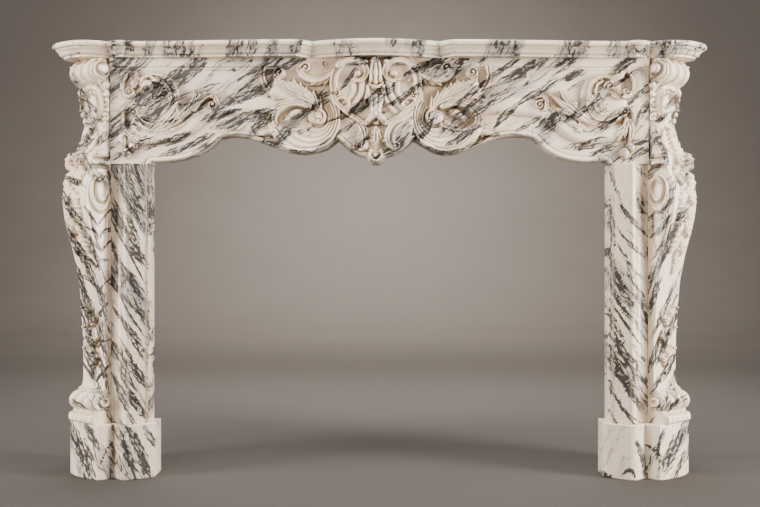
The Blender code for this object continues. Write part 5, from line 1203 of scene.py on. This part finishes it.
class Recipe:
    """Adds a material's nodes and joins them up."""

    def __init__(self, name):
        self.material = bpy.data.materials.new(name)
        self.material.use_nodes = True
        self.nodes = self.material.node_tree.nodes
        self.links = self.material.node_tree.links
        self.shader = self.nodes["Principled BSDF"]

    def add(self, kind, settings=(), **sockets):
        """A node with its settings, and a value or another node's output per socket."""
        node = self.nodes.new(kind)
        for key, value in dict(settings).items():
            setattr(node, key, value)
        for key, value in sockets.items():
            self.set(node, key.replace("_", " "), value)
        return node

    def set(self, node, socket, value):
        """Put a value in a socket, or join another node's output to it."""
        place = node.inputs[int(socket)] if socket.isdigit() else node.inputs[socket]
        if isinstance(value, bpy.types.NodeSocket):
            self.links.new(value, place)
        else:
            place.default_value = value

    def math(self, operation, a, b=0.0, clamp=False):
        """One sum."""
        node = self.nodes.new("ShaderNodeMath")
        node.operation = operation
        node.use_clamp = clamp
        self.set(node, "0", a)
        self.set(node, "1", b)
        return node.outputs[0]

    def fade(self, value, low, high, out_low=0.0, out_high=1.0):
        """A smooth change from out_low to out_high as the value goes from low to high."""
        node = self.nodes.new("ShaderNodeMapRange")
        node.interpolation_type = "SMOOTHSTEP"
        for index, part in enumerate((value, low, high, out_low, out_high)):
            self.set(node, str(index), part)
        return node.outputs[0]

    def mix(self, factor, a, b):
        """One colour turning into another."""
        node = self.nodes.new("ShaderNodeMix")
        node.data_type = "RGBA"
        self.set(node, "0", factor)
        self.set(node, "6", a)
        self.set(node, "7", b)
        return node.outputs[2]

    def placed(self, vector, centre, turn, scale):
        """Coordinates measured from a centre, along a turned direction, in given units."""
        node = self.add("ShaderNodeMapping", {"vector_type": "TEXTURE"}, Vector=vector)
        node.inputs["Location"].default_value = centre
        node.inputs["Rotation"].default_value = (0.0, turn, 0.0)
        node.inputs["Scale"].default_value = scale
        return node.outputs[0]

    def noise(self, vector, scale, detail=3.0, rough=0.55, distortion=0.0, colour=False):
        """Noise of a number of grains per metre."""
        node = self.add("ShaderNodeTexNoise", Vector=vector, Scale=scale, Detail=detail,
                        Roughness=rough, Distortion=distortion)
        return node.outputs[1 if colour else 0]


def marble(name, stone, node, drawn):
    """The polished white marble of a node's block.

    drawn says whether the block carries its bands and hollows as attributes.
    """
    turn, shift, wild = STONES[node]
    recipe = Recipe(name)
    place = recipe.add("ShaderNodeTexCoord").outputs["Object"]
    moved = recipe.placed(place, shift, 0.0, (1.0, 1.0, 1.0))
    wander = recipe.noise(moved, 9.0, 3.0, 0.55, colour=True)
    bent = recipe.add("ShaderNodeVectorMath", {"operation": "MULTIPLY_ADD"})
    recipe.links.new(wander, bent.inputs[0])
    bent.inputs[1].default_value = (VEIN_WANDER,) * 3
    recipe.links.new(place, bent.inputs[2])
    warped = bent.outputs[0]

    slope = -math.radians(turn)
    wide = recipe.placed(warped, shift, slope, PATCH_GRAIN)
    density = recipe.fade(recipe.noise(wide, 1.0, 2.0), 0.42, 0.62, 0.0, wild)
    streak = recipe.noise(recipe.placed(warped, shift, slope, STREAK_GRAIN), 1.0, 3.0, 0.6)
    if drawn:
        grey = recipe.add("ShaderNodeAttribute", {"attribute_name": "grey"}).outputs["Fac"]
        ragged = recipe.math("MULTIPLY", grey, recipe.fade(streak, 0.25, 0.6, 0.45, 1.1))
        density = recipe.math("MAXIMUM", density, ragged)

    broken = recipe.noise(moved, 48.0, 2.0)
    lines = 0.0
    for grain, stretch, reach, start, weight in VEIN_NETS:
        along = recipe.placed(warped, shift, slope, (grain * stretch, grain * 2, grain))
        grains = recipe.noise(along, 1.0, 2.5, 0.5)
        apart = recipe.math("ABSOLUTE", recipe.math("SUBTRACT", grains, 0.5))
        swell = recipe.fade(broken, 0.3, 0.65, 0.45, 1.2)
        width = recipe.math("MULTIPLY", recipe.fade(density, start, 1.0, 0.5, 1.0),
                            recipe.math("MULTIPLY", swell, reach))
        line = recipe.fade(recipe.math("DIVIDE", apart, width), 0.4, 1.0, 1.0, 0.0)
        shown = recipe.fade(density, start, start + 0.2, 0.0, weight)
        lines = recipe.math("MAXIMUM", recipe.math("MULTIPLY", line, shown), lines)
    if drawn:
        near = recipe.add("ShaderNodeAttribute", {"attribute_name": "line"}).outputs["Fac"]
        rough = recipe.math("MULTIPLY", recipe.math("SUBTRACT", streak, 0.52), 1.6)
        inked = recipe.fade(recipe.math("ADD", near, rough), 0.38, 0.66)
        lines = recipe.math("MAXIMUM", lines, inked)

    mist = recipe.noise(recipe.placed(warped, shift, slope, MIST_GRAIN), 1.0, 3.0, 0.6)
    cloud = recipe.math("MULTIPLY", recipe.fade(density, 0.08, 0.8, 0.0, 0.95),
                        recipe.fade(mist, 0.3, 0.58, 0.3, 1.0))
    patches = recipe.fade(recipe.noise(moved, 5.0, 4.0), 0.42, 0.68)
    colour = recipe.mix(recipe.math("MULTIPLY", patches, 0.55), (*stone.ground, 1),
                        (*stone.ground_warm, 1))
    colour = recipe.mix(cloud, colour, (*stone.cloud, 1))
    colour = recipe.mix(recipe.math("MULTIPLY", lines, 0.92), colour, (*stone.vein, 1))
    if drawn:
        # Hollows, quirks and gaps turn ochre: partly dirt, partly painted shade standing in
        # for the carving's own shadow
        hollow = recipe.add("ShaderNodeAttribute", {"attribute_name": "crevice"})
        darkening = recipe.fade(recipe.noise(moved, 24.0, 3.0), 0.3, 0.7, 0.45, 1.0)
        dirt_and_painted_shade = recipe.math("MULTIPLY", hollow.outputs["Fac"], darkening, clamp=True)
        colour = recipe.mix(dirt_and_painted_shade, colour, (*stone.crevice, 1))
    recipe.links.new(colour, recipe.shader.inputs["Base Color"])

    wear = recipe.noise(moved, 60.0, 4.0)
    recipe.links.new(recipe.fade(wear, 0.3, 0.7, stone.polish - 0.06, stone.polish + 0.1),
                     recipe.shader.inputs["Roughness"])
    recipe.shader.inputs["Specular IOR Level"].default_value = 0.5
    recipe.shader.inputs["Subsurface Weight"].default_value = 0.08
    recipe.shader.inputs["Subsurface Radius"].default_value = (1.0, 0.75, 0.5)
    recipe.shader.inputs["Subsurface Scale"].default_value = 0.004
    bump = recipe.add("ShaderNodeBump", Strength=0.3, Distance=0.0005)
    recipe.links.new(recipe.noise(moved, 130.0, 4.0, 0.6), bump.inputs["Height"])
    recipe.links.new(bump.outputs[0], recipe.shader.inputs["Normal"])
    return recipe.material


def set_block(context, name, builder, stone_name, node, drawn=True,
              angle=PLAIN_ANGLE):
    """Set the block in its node's place, cut from its own piece of marble."""
    material = marble(stone_name, context.scene.chimney_stone, node, drawn)
    mesh = bpy.data.meshes.new(name)
    builder.to_mesh(mesh)
    builder.free()
    mesh.materials.append(material)
    mesh.shade_smooth()
    mesh.set_sharp_from_angle(angle=math.radians(angle))
    block = bpy.data.objects.new(name, mesh)
    bpy.context.collection.objects.link(block)
    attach(block, "root")
    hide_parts(node)


def blurred(field, reach):
    """The field averaged over a square of cells that reaches so far each way."""
    for axis in (0, 1):
        pad = [(0, 0), (0, 0)]
        pad[axis] = (reach + 1, reach)
        total = np.cumsum(np.pad(field, pad, mode="edge"), axis=axis)
        size = 2 * reach + 1
        high = np.take(total, range(size, total.shape[axis]), axis=axis)
        low = np.take(total, range(0, total.shape[axis] - size), axis=axis)
        field = (high - low) / size
    return field


def crisp(relief, gain):
    """The relief with its small forms cut deeper, its broad ones left alone."""
    return relief + gain * (relief - blurred(relief, 2)) + 0.5 * gain * (
        relief - blurred(blurred(relief, 4), 3))


def hollowness(relief, depth):
    """0 on open carving to 1 deep in its quirks, from the relief's own heights."""
    broad = blurred(blurred(relief, 6), 3)
    reach = depth + 0.35 * np.maximum(broad, 0)
    near = np.clip((blurred(relief, 2) - relief) / (0.4 * reach), 0, 1)
    wide = np.clip((broad - relief) / reach, 0, 1)
    return np.clip(0.4 * near + 0.5 * wide, 0, 0.8)


def grid_sheet(columns, rows):
    """A flat grid, with each corner's share of the way across and up."""
    builder = bmesh.new()
    bmesh.ops.create_grid(builder, x_segments=columns, y_segments=rows, size=0.5)
    shares = np.array([corner.co[:2] for corner in builder.verts]) + 0.5
    return builder, shares[:, 0], shares[:, 1]


def shape_sheet(builder, places, hollows):
    """Move the sheet's corners to their places and note how hollow each one is."""
    # This layer holds how much ochre dirt and painted shade each corner takes, more deep in
    # the hollows
    layer = builder.verts.layers.float.new("crevice")
    for corner, place, hollow in zip(builder.verts, places.tolist(), hollows.tolist()):
        corner.co = place
        corner[layer] = hollow


def close_back(builder, back_place):
    """Draw the sheet's rim back, and close it with one flat face."""
    rim = [edge for edge in builder.edges if edge.is_boundary]
    drawn = bmesh.ops.extrude_edge_only(builder, edges=rim)["geom"]
    for corner in (item for item in drawn if isinstance(item, bmesh.types.BMVert)):
        corner.co = back_place(corner.co)
    rear = [edge for edge in drawn
            if isinstance(edge, bmesh.types.BMEdge) and edge.is_boundary]
    bmesh.ops.edgeloop_fill(builder, edges=rear)


def cut_off(builder, point, normal):
    """Saw away what lies beyond a plane and close the cut."""
    whole = builder.verts[:] + builder.edges[:] + builder.faces[:]
    cut = bmesh.ops.bisect_plane(builder, geom=whole, dist=1e-6, clear_outer=True,
                                 plane_co=point, plane_no=normal)
    rim = [item for item in cut["geom_cut"] if isinstance(item, bmesh.types.BMEdge)]
    bmesh.ops.edgenet_fill(builder, edges=rim)


def carved_frieze(settings):
    """The frieze's slab with its carving."""
    columns, rows = settings.frieze_columns, settings.frieze_rows
    builder, across, up = grid_sheet(columns, rows)
    half, top, bottom = FRIEZE_HIGH[0], FRIEZE_HIGH[2], JAMB_HIGH[2] + JOINT_GAP
    column = MIDDLE_COLUMN + (2 * across - 1) * DRAWN_HALF_WIDTH
    edge_row = np.minimum(lower_edge(column), TOP_ROW + DRAWN_HEIGHT)
    row = edge_row + (TOP_ROW - edge_row) * up
    field = crisp(carve_frieze(column, row).reshape(rows + 1, columns + 1), FRIEZE_CRISP)
    face_y = np.maximum(FRIEZE_FACE_Y - field.ravel(), FRIEZE_LOW[1])
    places = np.stack([(2 * across - 1) * half, face_y,
                       top - (row - TOP_ROW) / DRAWN_HEIGHT * (top - bottom)], axis=1)
    shape_sheet(builder, places, hollowness(field, FRIEZE_HOLLOW).ravel())
    paint_veins(builder, FRIEZE_BANDS)
    close_back(builder, lambda place: (place.x, FRIEZE_HIGH[1], place.z))
    touch = leg_plan(0.0, -LEG_HALF_WIDTH - JOINT_GAP)
    for _, side in SIDES:
        cut_off(builder, (side * touch[0], touch[1], 0), (side, 1, 0))
    bmesh.ops.recalc_face_normals(builder, faces=builder.faces)
    return builder


def console(settings, side, bands):
    """A carved corner console; side is -1 on the left and 1 on the right."""
    columns, rows = settings.console_columns, settings.console_rows
    builder, across, up = grid_sheet(columns, rows)
    height = LEG_LOW[2] + (LEG_HIGH[2] - LEG_LOW[2]) * up
    drawn = drawn_height(height)
    share = 2 * across - 1
    turn = np.clip(np.abs(share) / LEG_FRONT_SHARE, 0, 1)
    down = np.clip((np.abs(share) - LEG_FRONT_SHARE) / (1 - LEG_FRONT_SHARE), 0, 1)
    out = leg_profile(drawn) * (1 - down)
    along = np.sign(share) * turn
    grid = (rows + 1, columns + 1)
    front_relief = crisp(carve_leg_front(along * LEG_DRAWN_HALF, drawn / MM).reshape(grid),
                         LEG_FRONT_CRISP).ravel()
    front_relief = np.minimum(front_relief, np.where(drawn > LEG_ROLL_HEIGHT,
                                                     LEG_ROLL_RELIEF, LEG_RELIEF))
    side_relief = crisp(carve_leg_side(out / MM, drawn / MM).reshape(grid),
                        LEG_SIDE_CRISP).ravel()
    # Painted shade deep between the top and foot rolls, laid in with the hollows' dirt and
    # shade
    gaps = ROLL_GAP_PAINTED_SHADE * between_rolls(along * LEG_DRAWN_HALF, drawn / MM)
    ease = np.clip((1 - turn) * LEG_HALF_WIDTH / LEG_ARRIS, 0, 1)
    rounding = LEG_ARRIS_DROP * (1 - np.sqrt(1 - (1 - ease)**2))
    on_side = soft_step(down, 0.0, LEG_WRAP)
    relief = (1 - on_side) * (front_relief - rounding)
    out = out + relief
    along = along * LEG_HALF_WIDTH + np.sign(share) * on_side * side_relief
    held = np.clip(along, -LEG_HALF_WIDTH, LEG_HALF_WIDTH)
    along = np.where(out < LEG_CHEEK, held, along)
    plan = leg_plan(out[:, None], along[:, None])
    places = np.column_stack([side * plan[:, 0], plan[:, 1], height])
    field = (relief + on_side * side_relief).reshape(grid)
    shape_sheet(builder, places, np.maximum(hollowness(field, LEG_HOLLOW).ravel(),
                                            (1 - on_side) * gaps))
    paint_veins(builder, bands)

    def tail(place):
        offset = np.array([side * place.x, place.y]) - LEG_ORIGIN
        x, y = leg_plan(-LEG_TAIL, offset @ DIAGONAL_ALONG)
        return (side * x, y, place.z)

    close_back(builder, tail)
    bmesh.ops.recalc_face_normals(builder, faces=builder.faces)
    return builder


def shelf_half_line(side):
    """Widest line of the shelf's edge, from the middle to the wall on the right half."""
    notch_y = WALL_Y - SHELF_NOTCH_FROM_WALL
    swell_y = WALL_Y - SHELF_SWELL_FROM_WALL
    run_y = WALL_Y - SHELF_RUN_FROM_WALL
    bump_y = WALL_Y - SHELF_BUMP_FROM_WALL
    middle = side * SHELF_BULGE_SHIFT
    share = np.linspace(0, 1, 33)[1:]
    runs = [(middle + SHELF_BULGE_HALF * share, FRONT_Y + (notch_y - FRONT_Y) * share**2)]
    start = middle + SHELF_BULGE_HALF
    share = 1 - np.cos(np.linspace(0, math.pi / 2, 13)[1:])
    runs.append((start + SHELF_SWELL_WIDTH * share,
                 notch_y + (swell_y - notch_y) * np.sin(math.pi / 2 * share)))
    start += SHELF_SWELL_WIDTH
    bump_end = CORNER[0] - SHELF_NOTCH_OFFSET
    bump_start = bump_end - SHELF_BUMP_WIDTH
    share = np.linspace(0, 1, 31)[1:]
    runs.append((start + (bump_start - start) * share,
                 swell_y + (run_y - swell_y) * share * share * (3 - 2 * share)))
    share = np.linspace(0, 1, 15)[1:-1]
    runs.append((bump_start + SHELF_BUMP_WIDTH * share,
                 run_y + (bump_y - run_y) * np.sin(math.pi * share)))
    turn = np.radians(np.linspace(SHELF_LOBE_START, SHELF_LOBE_END, 57))
    reach = 1 + SHELF_LOBE_FLATNESS * np.cos(4 * turn)
    lobe_x = CORNER[0] + SHELF_LOBE_OFFSET
    lobe_y = (WALL_Y - SHELF_LOBE_FROM_WALL
              + SHELF_LOBE_HALF_DEPTH * (1 + SHELF_LOBE_FLATNESS))
    side_x = RETURN_HIGH[0] + SHELF_SIDE_OVERHANG
    x = lobe_x + SHELF_LOBE_HALF_WIDTH * reach * np.cos(turn)
    runs.append((np.where(turn > 0, np.maximum(x, side_x), x),
                 lobe_y + SHELF_LOBE_HALF_DEPTH * reach * np.sin(turn)))
    last_y = runs[-1][1][-1]
    runs.append((np.array([side_x, side_x]),
                 np.array([last_y + SHELF_NOTCH_OFFSET, WALL_Y])))
    return np.column_stack([
        np.minimum(np.concatenate([run[0] for run in runs]), SHELF_HIGH[0]),
        np.maximum(np.concatenate([run[1] for run in runs]), SHELF_LOW[1])])


def inset_line(line, inset):
    """The open line moved inwards, keeping its two ends on the wall plane."""
    steps = np.diff(line, axis=0)
    normals = np.stack([-steps[:, 1], steps[:, 0]], axis=1)
    normals /= np.hypot(*steps.T)[:, None]
    before = np.vstack([normals[:1], normals])
    after = np.vstack([normals, normals[-1:]])
    mitre = (before + after) / (1 + np.sum(before * after, axis=1))[:, None]
    return line + mitre * inset


def shelf_moulding():
    """Edge moulding, top to bottom: how far in, the height, and how hollow it is."""
    radius = SHELF_TORUS / 2
    centre = SHELF_HIGH[2] - radius
    rings = [(radius * (1 - math.cos(math.radians(a))),
              centre + radius * math.sin(math.radians(a)), 0.0)
             for a in np.linspace(90, -62, 12)]
    fillet = SHELF_HIGH[2] - SHELF_TORUS
    step = SHELF_PROJECTION
    rings.append((0.33 * step, fillet, 0.85))
    rings.append((0.34 * step, fillet - 0.0022, 0.2))
    for share in np.linspace(0, 1, 6):
        ease = share * share * (3 - 2 * share)
        rings.append(((0.38 + 0.18 * ease) * step, fillet - 0.0030 - 0.0058 * share, 0.0))
    rings.append((0.60 * step, fillet - 0.0100, 0.7))
    for share in np.linspace(0, 1, 6)[1:]:
        turn = math.pi / 2 * share
        rings.append((step * (0.62 + 0.38 * (1 - math.cos(turn))),
                      fillet - 0.0105 - 0.0090 * math.sin(turn), 0.25 * share))
    rings.append((step, SHELF_LOW[2], 0.3))
    return rings


def moulded_shelf():
    """The shelf's slab: its moulding drawn round the serpentine line."""
    left = shelf_half_line(-1)[::-1] * (-1, 1)
    line = np.vstack([left, [(SHELF_BULGE_SHIFT, FRONT_Y)], shelf_half_line(1)])
    builder = bmesh.new()
    bmesh.ops.create_circle(builder, segments=len(line), radius=1.0)
    layer = builder.verts.layers.float.new("crevice")
    edges = builder.edges[:]
    order = {corner: index for index, corner in enumerate(builder.verts)}
    for index, (inset, height, hollow) in enumerate(shelf_moulding()):
        if index:
            drawn = bmesh.ops.extrude_edge_only(builder, edges=edges)["geom"]
            edges = [item for item in drawn
                     if isinstance(item, bmesh.types.BMEdge) and item.is_boundary]
            corners = {item for item in drawn if isinstance(item, bmesh.types.BMVert)}
            order = {edge.other_vert(corner): order[corner] for corner in order
                     for edge in corner.link_edges if edge.other_vert(corner) in corners}
        ring = inset_line(line, inset)
        for corner, place in order.items():
            corner.co = (*ring[place], height)
            corner[layer] = hollow
        if index == 0:
            bmesh.ops.edgeloop_fill(builder, edges=edges)
    bmesh.ops.edgeloop_fill(builder, edges=edges)
    bmesh.ops.recalc_face_normals(builder, faces=builder.faces)
    return builder


def dressed_block(node, arris):
    """A plain block of the frame with its arrises eased."""
    builder = bmesh.new()
    builder.from_mesh(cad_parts[node].data)
    bmesh.ops.remove_doubles(builder, verts=builder.verts, dist=1e-5)
    bmesh.ops.dissolve_limit(builder, angle_limit=math.radians(0.3), verts=builder.verts,
                             edges=builder.edges)
    sharp = [edge for edge in builder.edges
             if edge.calc_face_angle(0.0) > math.radians(32)]
    bmesh.ops.bevel(builder, geom=sharp, offset=arris, offset_type="OFFSET", segments=2,
                    profile=0.5, affect="EDGES", material=-1, clamp_overlap=True)
    return builder


def diced(builder, axis, step):
    """Cut the block on even planes, so that its faces can carry drawn veins."""
    reach = [corner.co[axis] for corner in builder.verts]
    normal = [0.0, 0.0, 0.0]
    normal[axis] = 1.0
    for place in np.arange(min(reach) + step, max(reach) - 0.5 * step, step):
        whole = builder.verts[:] + builder.edges[:] + builder.faces[:]
        bmesh.ops.bisect_plane(builder, geom=whole, dist=1e-6, plane_no=normal,
                               plane_co=[place * part for part in normal])


def note_quirks(builder, seams=()):
    """Note on every corner how sharply the block turns inwards there.

    seams are upright lines darkened ochre, the reveal's groove with stain and painted shade
    and the lines beside the bead with painted shade: how far each is from the centre line,
    and how strong.
    """
    builder.normal_update()
    layer = builder.verts.layers.float.new("crevice")
    # Concave edges take ochre: partly dirt in the quirk, partly painted shade
    for corner in builder.verts:
        bend = min(edge.calc_face_angle_signed(0.0) for edge in corner.link_edges)
        corner[layer] = min(max(-bend / math.radians(45), 0.0), 1.0)
    noted = {corner: corner[layer] for corner in builder.verts}
    for corner in builder.verts:
        beside = max(noted[edge.other_vert(corner)] for edge in corner.link_edges)
        corner[layer] = max(noted[corner], 0.5 * beside)
        # Ochre seams down the front: stain and painted shade in the groove, painted shade
        # by the bead
        for place, strength in seams if corner.normal.y < -0.3 else ():
            darkening = math.exp(-((abs(corner.co.x) - place) / 0.0035)**2)
            corner[layer] = max(corner[layer], strength * darkening)


def veined_block(node, arris, bands, seams=()):
    """A plain block with eased arrises, diced and painted with its veins."""
    builder = dressed_block(node, arris)
    bmesh.ops.recalc_face_normals(builder, faces=builder.faces)
    for axis in (0, 2):
        diced(builder, axis, DICE_STEP)
    note_quirks(builder, seams)
    paint_veins(builder, bands)
    return builder


class ChimneyOperator:
    """What the chimneypiece's operators share."""

    bl_options = {"REGISTER", "UNDO"}


class CHIMNEY_OT_shelf(ChimneyOperator, Operator):
    """Lay the serpentine, moulded shelf"""

    bl_idname = "chimney.shelf"
    bl_label = "Shelf"

    def execute(self, context):
        set_block(context, "shelf_slab", moulded_shelf(), "shelf_marble_veined",
                  "mantel_shelf", drawn=False)
        return {"FINISHED"}


class CHIMNEY_OT_frieze(ChimneyOperator, Operator):
    """Carve the frieze"""

    bl_idname = "chimney.frieze"
    bl_label = "Frieze"

    def execute(self, context):
        set_block(context, "carved_frieze", carved_frieze(context.scene.chimney_carving),
                  "frieze_marble_veined", "frieze", angle=CARVED_ANGLE)
        return {"FINISHED"}


class CHIMNEY_OT_consoles(ChimneyOperator, Operator):
    """Carve the two corner consoles"""

    bl_idname = "chimney.consoles"
    bl_label = "Consoles"

    def execute(self, context):
        for name, side in SIDES:
            builder = console(context.scene.chimney_carving, side, CONSOLE_BANDS[name])
            set_block(context, "carved_console_" + name, builder, "console_marble_" + name,
                      "leg_" + name, angle=CARVED_ANGLE)
        return {"FINISHED"}


class CHIMNEY_OT_jambs(ChimneyOperator, Operator):
    """Set the two moulded uprights beside the opening"""

    bl_idname = "chimney.jambs"
    bl_label = "Uprights"

    def execute(self, context):
        for name, _ in SIDES:
            builder = veined_block("jamb_" + name, context.scene.chimney_carving.arris,
                                   JAMB_BANDS[name], JAMB_STAIN_AND_SHADE_SEAMS)
            set_block(context, "moulded_jamb_" + name, builder, "jamb_marble_" + name,
                      "jamb_" + name)
        return {"FINISHED"}


class CHIMNEY_OT_plinths(ChimneyOperator, Operator):
    """Set the two foot blocks"""

    bl_idname = "chimney.plinths"
    bl_label = "Plinths"

    def execute(self, context):
        for name, _ in SIDES:
            builder = veined_block("plinth_" + name,
                                   1.5 * context.scene.chimney_carving.arris,
                                   PLINTH_BANDS[name])
            set_block(context, "foot_block_" + name, builder, "plinth_marble_" + name,
                      "plinth_" + name)
        return {"FINISHED"}


class CHIMNEY_OT_returns(ChimneyOperator, Operator):
    """Set the two side slabs that run back to the wall"""

    bl_idname = "chimney.returns"
    bl_label = "Returns"

    def execute(self, context):
        for name, _ in SIDES:
            builder = dressed_block("return_" + name,
                                    0.5 * context.scene.chimney_carving.arris)
            set_block(context, "side_slab_" + name, builder, "return_marble_" + name,
                      "return_" + name, drawn=False)
        return {"FINISHED"}


def soft_light(name, place, aim, width, height, power, colour):
    """A large soft box that looks at a point."""
    lamp = bpy.data.lights.new(name, "AREA")
    lamp.shape = "RECTANGLE"
    lamp.size = width
    lamp.size_y = height
    lamp.energy = power
    lamp.color = colour
    holder = bpy.data.objects.new(name, lamp)
    holder.location = place
    direction = np.subtract(aim, place)
    holder.rotation_euler = (math.atan2(math.hypot(direction[0], direction[1]),
                                        -direction[2]), 0.0,
                             math.atan2(direction[1], direction[0]) - math.pi / 2)
    bpy.context.collection.objects.link(holder)


def studio_material(studio):
    """The plain ground: dark near the block, and a painted pool of light in the wall's
    middle, with painted shade towards its edges.
    """
    recipe = Recipe("studio_grey")
    place = recipe.add("ShaderNodeTexCoord").outputs["Object"]
    glow = recipe.placed(place, BACKDROP_PAINTED_LIGHT_MIDDLE, 0.0, BACKDROP_PAINTED_LIGHT_REACH)
    size = recipe.add("ShaderNodeVectorMath", {"operation": "LENGTH"})
    recipe.links.new(glow, size.inputs[0])
    mottle = recipe.math("MULTIPLY", recipe.noise(place, 1.5, 3.0), 0.12)
    spread = recipe.math("ADD", size.outputs["Value"], mottle)
    # Painted shade towards the backdrop's edges, around the painted pool of light in its
    # middle
    edge = tuple(BACKDROP_PAINTED_SHADE * part for part in studio.backdrop)
    wall = recipe.mix(recipe.fade(spread, 0.0, 1.1), (*studio.backdrop, 1), (*edge, 1))
    parts = recipe.add("ShaderNodeSeparateXYZ", Vector=place)
    far = recipe.fade(parts.outputs["Y"], 0.1, 6.5)
    rise = recipe.math("MAXIMUM", recipe.fade(parts.outputs["Z"], 0.0, 0.9), far)
    recipe.links.new(recipe.mix(rise, (*studio.floor, 1), wall),
                     recipe.shader.inputs["Base Color"])
    recipe.shader.inputs["Roughness"].default_value = 0.9
    return recipe.material


def studio_floor(material):
    """The round floor and the wall it sweeps up to, spun from their outline."""
    builder = bmesh.new()
    profile = [(0.0, 0.0), (FLOOR_RADIUS, 0.0)]
    profile += [(FLOOR_RADIUS + SWEEP_RADIUS * math.sin(a),
                 SWEEP_RADIUS - SWEEP_RADIUS * math.cos(a))
                for a in np.linspace(0, math.pi / 2, 13)[1:]]
    profile.append((FLOOR_RADIUS + SWEEP_RADIUS, WALL_HEIGHT))
    corners = [builder.verts.new((x, 0.0, z)) for x, z in profile]
    edges = [builder.edges.new(pair) for pair in zip(corners, corners[1:])]
    bmesh.ops.spin(builder, geom=corners + edges, cent=(0, 0, 0), axis=(0, 0, 1),
                   angle=2 * math.pi, steps=64, use_merge=True)
    bmesh.ops.remove_doubles(builder, verts=builder.verts, dist=1e-4)
    bmesh.ops.recalc_face_normals(builder, faces=builder.faces)
    bmesh.ops.reverse_faces(builder, faces=builder.faces)
    mesh = bpy.data.meshes.new("studio_floor")
    builder.to_mesh(mesh)
    builder.free()
    mesh.materials.append(material)
    mesh.shade_smooth()
    floor = bpy.data.objects.new("studio_floor", mesh)
    bpy.context.collection.objects.link(floor)


def front_camera(studio):
    """The camera in the middle of the room, level, at the photograph's distance."""
    view = bpy.data.cameras.new("front_view")
    view.sensor_width = SENSOR_MM
    view.lens = SENSOR_MM * FOCAL_PIXELS / FRAME_PIXELS[0]
    view.shift_x = CENTRE_SHIFT_PIXELS[0] / FRAME_PIXELS[0]
    view.shift_y = CENTRE_SHIFT_PIXELS[1] / FRAME_PIXELS[0]
    camera = bpy.data.objects.new("front_view", view)
    camera.location = (0.0, -studio.distance, studio.eye)
    camera.rotation_euler = (math.pi / 2, 0.0, 0.0)
    bpy.context.collection.objects.link(camera)
    return camera


class CHIMNEY_OT_studio(ChimneyOperator, Operator):
    """Lay the floor and set the lights and the camera"""

    bl_idname = "chimney.studio"
    bl_label = "Studio"

    def execute(self, context):
        studio = context.scene.chimney_studio
        studio_floor(studio_material(studio))
        for name, setting, share, place, aim, width, height, colour in LIGHTS:
            soft_light(name, place, aim, width, height, share * getattr(studio, setting),
                       colour)
        world = bpy.data.worlds.new("studio_air")
        world.use_nodes = True
        air = world.node_tree.nodes["Background"]
        air.inputs["Color"].default_value = AIR_COLOUR
        air.inputs["Strength"].default_value = AIR_STRENGTH
        context.scene.world = world
        context.scene.view_settings.look = "AgX - Medium High Contrast"
        context.scene.camera = front_camera(studio)
        return {"FINISHED"}


OPERATORS = (CHIMNEY_OT_shelf, CHIMNEY_OT_frieze, CHIMNEY_OT_consoles, CHIMNEY_OT_jambs,
             CHIMNEY_OT_plinths, CHIMNEY_OT_returns, CHIMNEY_OT_studio)


class CHIMNEY_PT_blocks(Panel):
    """The chimneypiece's blocks and settings"""

    bl_idname = "CHIMNEY_PT_blocks"
    bl_label = "Chimneypiece"
    bl_space_type = "VIEW_3D"
    bl_region_type = "UI"
    bl_category = "Chimneypiece"

    def draw(self, context):
        for operator in OPERATORS:
            self.layout.operator(operator.bl_idname)
        for settings in (context.scene.chimney_stone, context.scene.chimney_carving,
                         context.scene.chimney_studio):
            for name in settings.__annotations__:
                self.layout.prop(settings, name)


GROUPS = {"chimney_stone": StoneSettings, "chimney_carving": CarvingSettings,
          "chimney_studio": StudioSettings}


def register():
    """Register the settings, the operators and the panel."""
    for name, group in GROUPS.items():
        bpy.utils.register_class(group)
        setattr(bpy.types.Scene, name, PointerProperty(type=group))
    for item in OPERATORS + (CHIMNEY_PT_blocks,):
        bpy.utils.register_class(item)


def unregister():
    """Take them out again."""
    for item in reversed(OPERATORS + (CHIMNEY_PT_blocks,)):
        bpy.utils.unregister_class(item)
    for name, group in GROUPS.items():
        delattr(bpy.types.Scene, name)
        bpy.utils.unregister_class(group)


def main():
    """Build every block in order, then the studio."""
    register()
    bpy.ops.chimney.shelf()
    bpy.ops.chimney.frieze()
    bpy.ops.chimney.consoles()
    bpy.ops.chimney.jambs()
    bpy.ops.chimney.plinths()
    bpy.ops.chimney.returns()
    bpy.ops.chimney.studio()


if __name__ == "__main__":
    main()
